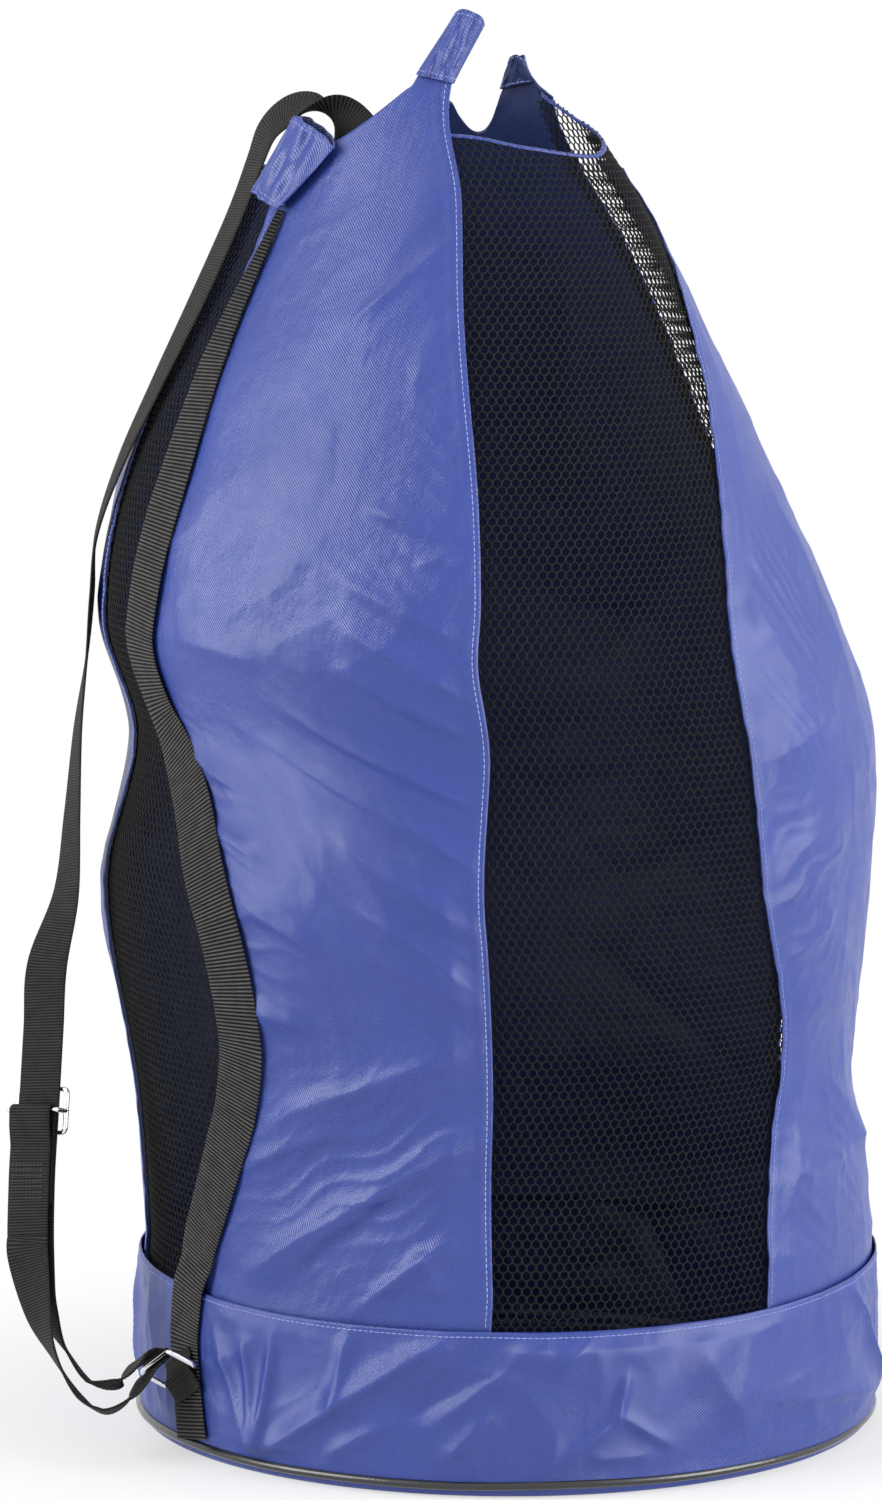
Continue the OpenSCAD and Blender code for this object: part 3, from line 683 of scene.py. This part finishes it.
RIGHT_FOLDS = [
    (4, 308, 82, 342, 9, 3.4), (4, 276, 64, 300, 9, 3), (4, 325, 60, 352, 8, 2.6),
    (8, 252, 90, 243, 12, 2.6), (8, 156, 140, 168, 14, 3), (14, 476, 52, 420, 12, 3),
    (10, 388, 78, 406, 10, 2.6), (60, 200, 160, 130, 14, 3), (70, 520, 120, 420, 16, 3),
]
BACK_FOLDS = [
    (30, 500, 150, 400, 14, 2.4), (20, 330, 150, 260, 12, 2.2), (30, 160, 140, 230, 12, 2),
    (60, 640, 110, 540, 14, 2.2),
]
# Each pull: its middle's distance from the left edge and height, half sizes, slope, pitch, height
FRONT_PULLS = [
    (0.150, 0.400, 0.050, 0.100, -0.75, 0.013, 0.0011), (0.120, 0.300, 0.060, 0.050, -0.80, 0.011, 0.0010),
    (0.020, 0.330, 0.030, 0.080, -0.35, 0.012, 0.0009), (0.100, 0.175, 0.070, 0.050, 0.60, 0.016, 0.0012),
    (0.150, 0.520, 0.040, 0.050, -0.40, 0.014, 0.0009),
]
RIGHT_PULLS = [
    (0.030, 0.310, 0.050, 0.060, 0.45, 0.013, 0.0011), (0.060, 0.160, 0.060, 0.050, -0.50, 0.015, 0.0010),
    (0.040, 0.440, 0.040, 0.060, -1.20, 0.015, 0.0010),
]
nylon_panel(
    "front_nylon", "front_panel", SIDE_SEAM, FRONT_SEAM, FRONT_TOP, 11,
    FRONT_FOLDS, FRONT_PULLS, cols=130, rows=360,
)
nylon_panel(
    "right_nylon", "right_panel", RIGHT_SEAM, RIGHT_BACK_SEAM, RIGHT_TOP, 21,
    RIGHT_FOLDS, RIGHT_PULLS,
)
nylon_panel(
    "back_nylon", "back_panel", BACK_SEAM, BACK_LEFT_SEAM, BACK_TOP, 31, BACK_FOLDS
)
nylon_panel(
    "left_nylon", "left_panel", LEFT_SEAM, LEFT_FRONT_SEAM, LEFT_TOP, 41, BACK_FOLDS
)


# Net panels.
# Four panels of black warp-knitted net with six-sided holes, their edges under the nylon panels.
# Each yarn is a strand of its own: two slanting ones and a thicker upright one to each hole.
HOLE_W = 0.0050
HOLE_H = 0.0042
SLANT_H = 0.0018
YARN_R = 0.00048
NET_LAP = 0.009
NET_OFF = 0.0
NET_HALF_W = 0.19
HEM_H = 0.0020
HEM_T = 0.0014
HEM_PAST = 4
SIDE_SEAM_ROUND = SIDE_SEAM + (0, 360)
FRONT_NET_TOP = np.array([
    (0, -14), (15, -16), (30, -21), (60, -26), (80, -21), (98, -13), (112, -7),
]) * (1, 0.001)
RIGHT_NET_TOP = np.array([(98, -13), (112, -7), (128, 4), (136, 11)]) * (1, 0.001)
BACK_NET_TOP = np.array([(190, -35), (232, -35)]) * (1, 0.001)
LEFT_NET_TOP = np.array([(285, -35), (306, -38)]) * (1, 0.001)
# Above the right panel's top, which ends below the rim, the nets on either side of it meet
FRONT_NET_EDGE = np.concatenate([RIGHT_SEAM, [(0.702, 103), (0.712, 107)]])
RIGHT_NET_EDGE = np.concatenate([RIGHT_BACK_SEAM, [(0.708, 113), (0.716, 109)]])

net_colour = linear(12, 12, 13)
net_black, nn, nl, nb = material("black_net", net_colour, 0.75, Specular_IOR_Level=0.25)
net_shade = uneven(nn, nl, 60.0, 0.7, 1.35)
nl.new(shaded(nn, nl, net_colour, net_shade), nb.inputs["Base Color"])


def degrees_of(arc, z):
    """The angle that a length round the wall takes up at a height."""
    return np.degrees(arc / curve(SECTIONS, z, 1))


def net_panel(name, node, left, right, top):
    """A net between two seams, cut strand by strand to its outline, and the tape along its top."""
    heights = np.linspace(PANEL_FOOT, MOUTH_Z + 0.01, 800)
    slope = np.hypot(np.gradient(curve(SECTIONS, heights, 1), heights), 1.0)
    lengths = np.concatenate([[0.0], np.cumsum((slope[1:] + slope[:-1]) / 2 * np.diff(heights))])
    rows = int(lengths[-1] / HOLE_H)
    half = int(NET_HALF_W / HOLE_W)
    j, i = np.meshgrid(np.arange(rows), np.arange(-half, half + 1), indexing="ij")
    x = i * HOLE_W + (j % 2) * HOLE_W / 2
    y = j * HOLE_H

    def place(x, y):
        z = np.interp(y, lengths, heights)
        middle = (curve(left, z, 1) + curve(right, z, 1)) / 2
        return middle + degrees_of(x, z), z

    strands = []
    for x0, y0, x1, y1, thick in (
        (x, y, x + HOLE_W / 2, y + SLANT_H, 1.0),
        (x + HOLE_W, y, x + HOLE_W / 2, y + SLANT_H, 1.0),
        (x + HOLE_W / 2, y + SLANT_H, x + HOLE_W / 2, y + HOLE_H, 1.3),
    ):
        a0, z0 = place(x0.ravel(), y0.ravel())
        a1, z1 = place(x1.ravel(), y1.ravel())
        a, z = (a0 + a1) / 2, (z0 + z1) / 2
        edge = degrees_of(NET_LAP, z)
        inside = (
            (a > curve(left, z, 1) - edge)
            & (a < curve(right, z, 1) + edge)
            & (z < MOUTH_Z + curve(top, a, 1))
        )
        ends = np.stack([wall(a0, z0, NET_OFF), wall(a1, z1, NET_OFF)], 1)[inside]
        t = np.radians(a[inside])
        strands.append((ends, np.stack([np.sin(t), -np.cos(t), 0 * t], -1), np.full(len(ends), thick)))
    ends, out, thick = (np.concatenate(column) for column in zip(*strands))
    way = unit(ends[:, 1] - ends[:, 0])
    side = unit(np.cross(way, out))
    out = np.cross(side, way)
    section = np.stack([side, out, -side, -out], 1) * (thick * YARN_R)[:, None, None]
    verts = (ends[:, :, None] + section[:, None]).reshape(-1, 3)
    k = np.arange(4)[None, :]
    first = np.arange(len(ends))[:, None] * 8
    a, b = first + k, first + (k + 1) % 4
    obj = mesh_object(name, verts, np.stack([a, b, b + 4, a + 4], -1).reshape(-1, 4), (net_black,))
    on_bag(obj, node)
    # The top edge is bound with a narrow folded tape
    start, end = (curve(seam, np.array([MOUTH_Z]), 1)[0] for seam in (left, right))
    hem_a = np.linspace(start - HEM_PAST, end + HEM_PAST, 120)[None, :]
    hem_z = MOUTH_Z + curve(top, hem_a, 1) - np.linspace(HEM_H, 0.0, 6)[:, None]
    hem_off = NET_OFF + 0.0007 * np.sin(np.linspace(0.5, 2.6, 6))[:, None] + 0.0003 * np.sin(hem_a * 1.7)
    hem_uv = np.stack(np.broadcast_arrays(np.radians(hem_a) * 0.1, hem_z), -1)
    hem_out, hem_in = wall(hem_a, hem_z, hem_off), wall(hem_a, hem_z, hem_off - HEM_T)
    hem = shell(name + "_hem", hem_out, hem_in, hem_uv, (blue,))
    hem.parent = obj


net_panel("front_net", "front_mesh", FRONT_SEAM, FRONT_NET_EDGE, FRONT_NET_TOP)
net_panel("right_net", "right_mesh", RIGHT_NET_EDGE, BACK_SEAM, RIGHT_NET_TOP)
net_panel("back_net", "back_mesh", BACK_LEFT_SEAM, LEFT_SEAM, BACK_NET_TOP)
net_panel("left_net", "left_mesh", LEFT_FRONT_SEAM, SIDE_SEAM_ROUND, LEFT_NET_TOP)


# Drawcord sleeves.
# Short flat tubes of the same nylon at the tops of the panels, hemmed at their open ends.
# With the mouth drawn together they stand up and lean over; each is crumpled where it was pulled.
SLEEVE_W = 0.028
SLEEVE_H = 0.045
SLEEVE_PUFF = 0.009
SLEEVE_T = 0.0009
SLEEVE_CROWN = 4


def sleeve(name, node, foot, head, off, seed):
    """foot, head: angle, rise over the mouth's height and slant in millimetres, share of the width."""
    cols, rows = 96, 60
    q = np.linspace(0, 2 * np.pi, cols, endpoint=False)[None, :]
    v = np.linspace(0, 1, rows)[:, None]
    across = -np.cos(q) * 0.5
    x, y = across * SLEEVE_W, v * SLEEVE_H
    crush = (
        ripples(x, y, seed, 0.0012, 0.014, 0.04) + creases(x, y, seed + 1, 0.0018, 0.012, 0.03) - 0.0008
        + 0.0008 * np.sin(2 * np.pi * (x + 0.25 * y) / 0.0085 + seed)
        + 0.0006 * np.sin(2 * np.pi * (x - 0.2 * y) / 0.0125)
    )
    hem = 0.0004 * (np.exp(-(((v - 0.97) / 0.05) ** 2)) + np.exp(-((v / 0.05) ** 2)))

    def between(k):
        return foot[k] * (1 - v) + head[k] * v

    crush = crush * np.clip(1.2 * between(3), 0, 1)
    z = MOUTH_Z + (between(1) + between(2) * across - SLEEVE_CROWN * v * (2 * across) ** 4) / 1000

    def place(inset):
        a = between(0) + degrees_of((SLEEVE_W * between(3) - 2 * inset) * across, z)
        puff = off + np.sin(q) * (SLEEVE_PUFF / 2 - inset)
        return wall(a, z, puff + (crush + hem * np.sin(q)) * np.abs(np.sin(q)))

    uv = np.stack(np.broadcast_arrays(q / (2 * np.pi) * 2 * SLEEVE_W, y), -1)
    outer = place(0.0)
    obj = shell(name, outer, place(SLEEVE_T), uv, (blue, inside_nylon_with_painted_shade), ring=True)
    # The side towards the bag takes the darker inside material, as painted shade on that side of the sleeve
    which = np.empty(len(obj.data.polygons), dtype=np.int32)
    obj.data.polygons.foreach_get("material_index", which)
    which[:(rows - 1) * cols] = np.tile(np.sin(q[0]) < -0.05, rows - 1)
    obj.data.polygons.foreach_set("material_index", which)
    on_bag(obj, node)
    for part, row in (("foot", 4), ("head", rows - 5)):
        line = np.concatenate([outer[row], outer[row, :1]])
        out = line - line.mean(axis=0)
        stitches(name + "_" + part + "_stitches", line, out, blue_thread, 0.0030).parent = obj


sleeve("front_tube", "front_sleeve", (-0.6, 14.5, -5, 0.76), (6.2, 50.5, -7, 0.62), 0.0025, 51)
sleeve("side_tube", "side_sleeve", (-54, -49.5, -11, 1), (-40, -10, -16, 1.1), 0.0085, 52)
sleeve("back_tube", "back_sleeve", (146.5, 12, -4, 0.80), (148.6, 29, -3, 0.30), 0.0025, 53)


# Side webbing.
# Black ribbed polyester webbing, 30 mm wide, sewn down the side seam and over the band.
# It follows the sway of the seam and steps down off the band's upper edge.
WEB_W = 0.030
WEB_T = 0.0018
WEB_FOOT = 0.0098
WEB_TOP = MOUTH_Z - 0.0559
WEB_SEAM = 0.00126
BAND_OUT = 0.0052
PANEL_OUT = NYLON_OFF + 0.0012
STEP_FROM = BAND_H + 0.004
STEP_H = 0.020
RIB = 0.0021


def band_of_webbing(name, path, side, cloth, rib, deep=0.22, step=0.0004, width=None):
    """A woven band along a path, with rounded edges and square ends.

    Ribs of a pitch lie across it, as deep as a share of its thickness; width is a share along the path.
    """
    length = along(path)
    s = np.linspace(0.0, length[-1], max(int(length[-1] / step), 8))
    line = np.stack([np.interp(s, length, path[:, k]) for k in range(3)], 1)
    across = np.stack([np.interp(s, length, side[:, k]) for k in range(3)], 1)
    way = unit(np.gradient(line, axis=0))
    across = unit(across - way * np.sum(across * way, 1, keepdims=True))
    out = np.cross(across, way)
    # Half the section, from edge to edge: share of the half width, share of the half thickness
    columns = np.array([-1.0, -0.985, -0.94, -0.6, -0.2, 0.2, 0.6, 0.94, 0.985, 1.0])
    swell = np.array([0.0, 0.55, 0.9, 1.0, 1.0, 1.0, 1.0, 0.9, 0.55, 0.0])
    ring_x = np.concatenate([columns, columns[-2:0:-1]]) * WEB_W / 2
    ring_y = np.concatenate([swell, -swell[-2:0:-1]])
    half = WEB_T / 2 * (1 - deep * (0.5 - 0.5 * np.cos(2 * np.pi * s / rib)))
    wide = np.ones_like(s) if width is None else np.interp(s, length, width)
    verts = (
        line[:, None]
        + across[:, None] * (ring_x[None, :] * wide[:, None])[..., None]
        + out[:, None] * (ring_y[None, :] * half[:, None])[..., None]
    )
    n, m = verts.shape[:2]
    faces = grid_faces(n, m, ring=True).tolist()
    faces += [list(range(m))[::-1], list(range((n - 1) * m, n * m))]
    uv = np.stack(np.broadcast_arrays(ring_x[None, :], s[:, None]), -1)
    return mesh_object(name, verts, faces, (cloth,), uv)


def ribbed_webbing(name, colour, rib, painted_crest_light, painted_groove_shade):
    """Woven webbing with ridges across it at a pitch: painted highlight on their crests and painted shade
    between them, with uneven wear and fine yarn.
    """
    made, nodes, links, bsdf = material(name, colour, 0.6, Specular_IOR_Level=0.12)
    uv = nodes.new("ShaderNodeUVMap").outputs["UV"]
    # Lighter crests and darker grooves, in step with the rib geometry, are painted highlight and painted
    # shade
    painted_rib_light = remap(nodes, links, wave(nodes, links, uv, math.pi / (10 * rib), "Y"), painted_crest_light, painted_groove_shade)
    worn = shaded(nodes, links, colour, remap(nodes, links, noise(nodes, links, uv, 120.0), 0.75, 1.3))
    both = shaded(nodes, links, colour, painted_rib_light)
    links.new(worn, both.node.inputs["A"])
    links.new(both, bsdf.inputs["Base Color"])
    yarn = add(nodes, links, wave(nodes, links, uv, 300.0, "X"), noise(nodes, links, uv, 2500.0), 0.6)
    bump(nodes, links, bsdf, yarn, 0.0002)
    return made


web_z = np.linspace(WEB_FOOT, WEB_TOP, 900)
web_a = curve(SIDE_SEAM, web_z, 1)
step_up = np.clip((web_z - STEP_FROM) / STEP_H, 0, 1)
step_up = step_up * step_up * (3 - 2 * step_up)
web_off = BAND_OUT + (PANEL_OUT - BAND_OUT) * step_up + WEB_SEAM + WEB_T / 2
# Near the mouth its left edge is folded under, so that it narrows towards the panel
web_wide = np.interp(web_z, [0.52, 0.60, 0.64, WEB_TOP], [1.0, 0.72, 0.42, 0.16])
web_a = web_a + degrees_of(WEB_W / 2 * (1 - web_wide), web_z)
web_path = wall(web_a, web_z, web_off)
web_side = np.stack([np.cos(np.radians(web_a)), np.sin(np.radians(web_a)), 0 * web_a], -1)
# The factors 4.2 and 0.05 are the painted highlight on the rib crests and the painted shade in the grooves
ribbed = ribbed_webbing("side_webbing", linear(38, 37, 37), RIB, 4.2, 0.05)
side_webbing = band_of_webbing(
    "seam_webbing", web_path, web_side, ribbed, RIB, deep=0.75, step=0.0003, width=web_wide
)
on_bag(side_webbing, "side_webbing")


# Ring tab.
# A short piece of finer ribbed webbing, sewn to the side above and below the ring's fixed bar.
# It is bent over the bar with a little play, so that the ring turns in it.
STRAP_RIB = 0.0016
WIRE_R = 0.0015
WIRE_GAP = 0.0003
BAR_TURN = WIRE_R + WIRE_GAP + WEB_T / 2
TAB_HALF = 0.012
TAB_SEWN = 0.0085
# The factors 2.6 and 0.25 are the painted highlight on the rib crests and the painted shade in the grooves
webbing = ribbed_webbing("strap_webbing", linear(28, 27, 26), STRAP_RIB, 2.6, 0.25)
ring_pos = np.array(frame["joints"][0]["pos_m"])
ring_bar = unit(np.array(frame["joints"][0]["axis"]))
ring_away = unit(np.cross(ring_bar, [0.0, 0.0, 1.0]))
ring_away = ring_away * np.sign(np.dot(ring_away, [ring_pos[0], ring_pos[1], 0.0]))
ring_rise = unit(np.cross(ring_away, ring_bar))
ring_rise = ring_rise * np.sign(ring_rise[2])

tab_seat = ring_pos - ring_away * (WIRE_GAP + WIRE_R)
tab_low = WIRE_GAP + WEB_T / 2
tab_flat = [(-TAB_HALF, tab_low), (-TAB_SEWN, tab_low)]
for turn in np.radians(np.arange(150, 29, -10)):
    tab_flat.append((BAR_TURN * math.cos(turn), WIRE_GAP + WIRE_R + BAR_TURN * math.sin(turn)))
tab_flat += [(TAB_SEWN, tab_low), (TAB_HALF, tab_low)]
tab_path = np.array([tab_seat + ring_rise * p + ring_away * q for p, q in tab_flat])
tab_side = np.broadcast_to(ring_bar, tab_path.shape)
ring_tab = band_of_webbing("tab_webbing", tab_path, tab_side, webbing, STRAP_RIB)
on_bag(ring_tab, "ring_tab")


# Ring and slide.
# Bright plated steel wire, bent to a rectangle and welded; the slide has a middle bar cranked to the front.
# The ring turns in its webbing tab, and the slide grips the strap by friction.
chrome, cn, cl, cb = material("plated_wire", (0.78, 0.79, 0.81, 1.0), 0.16, Metallic=1.0)
cl.new(uneven(cn, cl, 400.0, 0.10, 0.26), cb.inputs["Roughness"])
for part in ("lower_ring", "slide_buckle"):
    wire = frame["nodes"][part]
    wire.data.materials.clear()
    wire.data.materials.append(chrome)


# Strap.
# The finer webbing in one length, sewn at its upper end inside the front panel.
# It bends over the rim, hangs down the left side and goes over the far bar of the ring.
RING_LIFT = math.radians(54)
RING_DEEP = 0.017
STRAP_DROP = math.radians(50)
BEND_FROM = 25.3
# Each row: a point of the strap's middle line in millimetres, and the direction across it there
STRAP = [
    (-85.5, -93.5, 690, 0.89, -0.45, 0),
    (-82.5, -84.5, 703, 0.89, -0.45, 0),
    (-81, -75, 713, 0.86, -0.51, 0),
    (-87, -64, 723, 0.75, -0.65, 0),
    (-97, -54, 730.5, 0.6, -0.78, -0.15),
    (-110, -46, 734.5, 0.45, -0.84, -0.3),
    (-122, -40, 731.5, 0.4, -0.87, -0.3),
    (-132, -37, 722, 0.36, -0.91, -0.2),
    (-138.5, -37, 706, 0.34, -0.94, -0.05),
    (-149, -41, 678, 0.34, -0.94, 0),
    (-168.5, -48, 634, 0.34, -0.94, 0),
    (-193, -43, 584, 0.26, -0.97, 0),
    (-214, -33, 540, 0.17, -0.98, 0),
    (-228, -26, 500, 0.08, -1, 0),
    (-231, -23, 466, 0, -1, 0),
    (-234, -24, 432, 0.05, -1, 0),
    (-239, -29, 392, 0.18, -0.98, 0),
    (-242, -38, 345, 0.33, -0.94, 0),
    (-245, -49, 302, 0.5, -0.87, 0),
    (-254.9, -61.2, 263.6, 0.77, -0.64, 0),
    (-256.5, -70, 230, 0.77, -0.64, 0),
    (-258.5, -81, 188, 0.77, -0.64, 0),
    (-260.5, -92, 146, 0.77, -0.64, 0),
    (-260, -103, 104, 0.77, -0.64, 0),
    (-251, -111, 76, 0.45, -0.9, 0),
    (-241, -116, 57, 0.2, -0.98, 0),
    (-228, -122, 42, 0.1, -0.97, 0.2),
    (-213, -127, 44, 0.42, -0.76, 0.5),
]
ring_reach = ring_rise * math.cos(RING_LIFT) + ring_away * math.sin(RING_LIFT)
ring_far = ring_pos + ring_reach * RING_DEEP
ring_top = -np.cross(ring_bar, ring_reach)
lead_dir = ring_reach * math.cos(STRAP_DROP) - ring_top * math.sin(STRAP_DROP)
lead_over = ring_top * math.cos(STRAP_DROP) + ring_reach * math.sin(STRAP_DROP)


def at_bar(side):
    """The last two rows of a route to the ring's far bar: over it for side 1, under it for -1."""
    return [
        (ring_far + lead_over * side * (BAR_TURN + clear) + lead_dir * away, ring_bar)
        for clear, away in ((0.002, 0.008), (0.0004, 0.0015))
    ]


def in_metres(rows):
    return [(np.array(row[:3]) / 1000, row[3:]) for row in rows]


def keyed(rows):
    """Rows of a route, each a point and the direction across there, with a running number."""
    return np.array([[i, *p, *w] for i, (p, w) in enumerate(rows)], dtype=float)


def route(rows, steps):
    """Points along a route, and the direction across it at each."""
    place = np.linspace(0, len(rows) - 1, steps)
    path = np.stack([curve(rows, place, k) for k in (1, 2, 3)], 1)
    side = np.stack([curve(rows, place, k) for k in (4, 5, 6)], 1)
    return path, side


strap_rows = keyed(in_metres(STRAP) + at_bar(1))
strap_path, strap_side = route(strap_rows, 420)
strap = band_of_webbing("strap", strap_path, strap_side, webbing, STRAP_RIB)
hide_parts("strap_upper", "strap_lower")


def strap_at(s, first=1):
    """A point of the strap's middle line at a row number, or from column 4 the direction across there."""
    return np.array([float(curve(strap_rows, np.array([s]), first + k)[0]) for k in range(3)])


# Where the last part of its loop, measured inwards and down, would bend with the ring; the point is worked
# out but nothing uses it
bend_start = strap_at(BEND_FROM)
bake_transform(strap)


# Doubled end of the strap.
# The strap's webbing, back from under the ring's far bar and sewn to itself round the slide's middle bar.
# It is two pieces that meet in front of the strap: one follows the ring and the other the slide.
SLIDE_AT = 21.06
SEWN_TO = SLIDE_AT + 1.15
TAIL_SEAM = 22.6
LAYER = WEB_T + 2 * WIRE_GAP
SEWN_FROM = SEWN_TO - 0.46
SEWN_STEP = 0.07
SEWN_HALF_W = 0.0125
SLIDE_BEND = 0.02
RETURN = [
    (-256, -117, 75, 0.5, -0.87, 0),
    (-247, -121, 54, 0.25, -0.97, 0),
    (-234, -126, 35, 0.1, -1, 0.1),
    (-221, -129, 28, 0.2, -0.9, 0.3),
    (-207, -130, 35, 0.4, -0.78, 0.48),
]


def strap_front(s):
    """Straight out of the strap's front at a row number."""
    up = unit(strap_at(s - 0.2) - strap_at(s + 0.2))
    w = strap_at(s, 4)
    return np.cross(unit(w - up * np.dot(w, up)), up)


def beside(s, off):
    return strap_at(s) + strap_front(s) * off


slide_up = unit(strap_at(20) - strap_at(22))
slide_w = np.array([0.77, -0.64, 0.0])
slide_across = unit(slide_w - slide_up * np.dot(slide_w, slide_up))
slide_front = np.cross(slide_across, slide_up)
slide_bar = WEB_T * 1.5 + 2 * WIRE_GAP + WIRE_R
tail_path = [beside(s, slide_bar - BAR_TURN) for s in np.arange(SEWN_TO, SLIDE_AT + 0.19, -0.05)]
for turn in np.radians(np.arange(-90, 91, 10)):
    up, out = BAR_TURN * math.cos(turn), slide_bar + BAR_TURN * math.sin(turn)
    tail_path.append(strap_at(SLIDE_AT) + slide_up * up + slide_front * out)
tail_path.append(beside(SLIDE_AT + 0.2, slide_bar + BAR_TURN * 0.8))
tail_path += [beside(s, 2 * LAYER) for s in np.arange(SLIDE_AT + 0.45, TAIL_SEAM + 0.01, 0.05)]
tail_path = np.array(tail_path)
tail_side = np.broadcast_to(slide_across, tail_path.shape)
tail = band_of_webbing("tail_webbing", tail_path, tail_side, webbing, STRAP_RIB)
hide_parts("strap_tail")
tail_bend = (tail_path[-1].tolist(), (strap_at(SLIDE_AT) - slide_up * SLIDE_BEND).tolist())
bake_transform(tail)

black_thread = thread("black_thread", linear(64, 62, 60))
for row in range(7):
    place = SEWN_FROM + SEWN_STEP * row
    middle, front = beside(place, 2 * LAYER + WEB_T / 2), strap_front(place)
    line = np.array([middle - slide_across * SEWN_HALF_W, middle + slide_across * SEWN_HALF_W])
    fronts = np.array([front, front])
    sewn = stitches("sewn_row_%d" % row, line, fronts, black_thread, 0.0026, 0.0003)
    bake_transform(sewn)

top_rows = [(beside(s, 2 * LAYER), slide_across) for s in (TAIL_SEAM + 0.01, TAIL_SEAM + 0.3)]
return_path, return_side = route(keyed(top_rows + in_metres(RETURN) + at_bar(-1)), 160)
bar_turns = [
    ring_far - (lead_over * math.cos(a) + lead_dir * math.sin(a)) * BAR_TURN
    for a in np.radians(np.arange(0, 166, 10))
]
return_path = np.concatenate([return_path, bar_turns])
return_side = np.concatenate([return_side, np.broadcast_to(ring_bar, (len(bar_turns), 3))])
back_end = band_of_webbing("return_webbing", return_path, return_side, webbing, STRAP_RIB)
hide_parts("strap_return")
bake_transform(back_end)
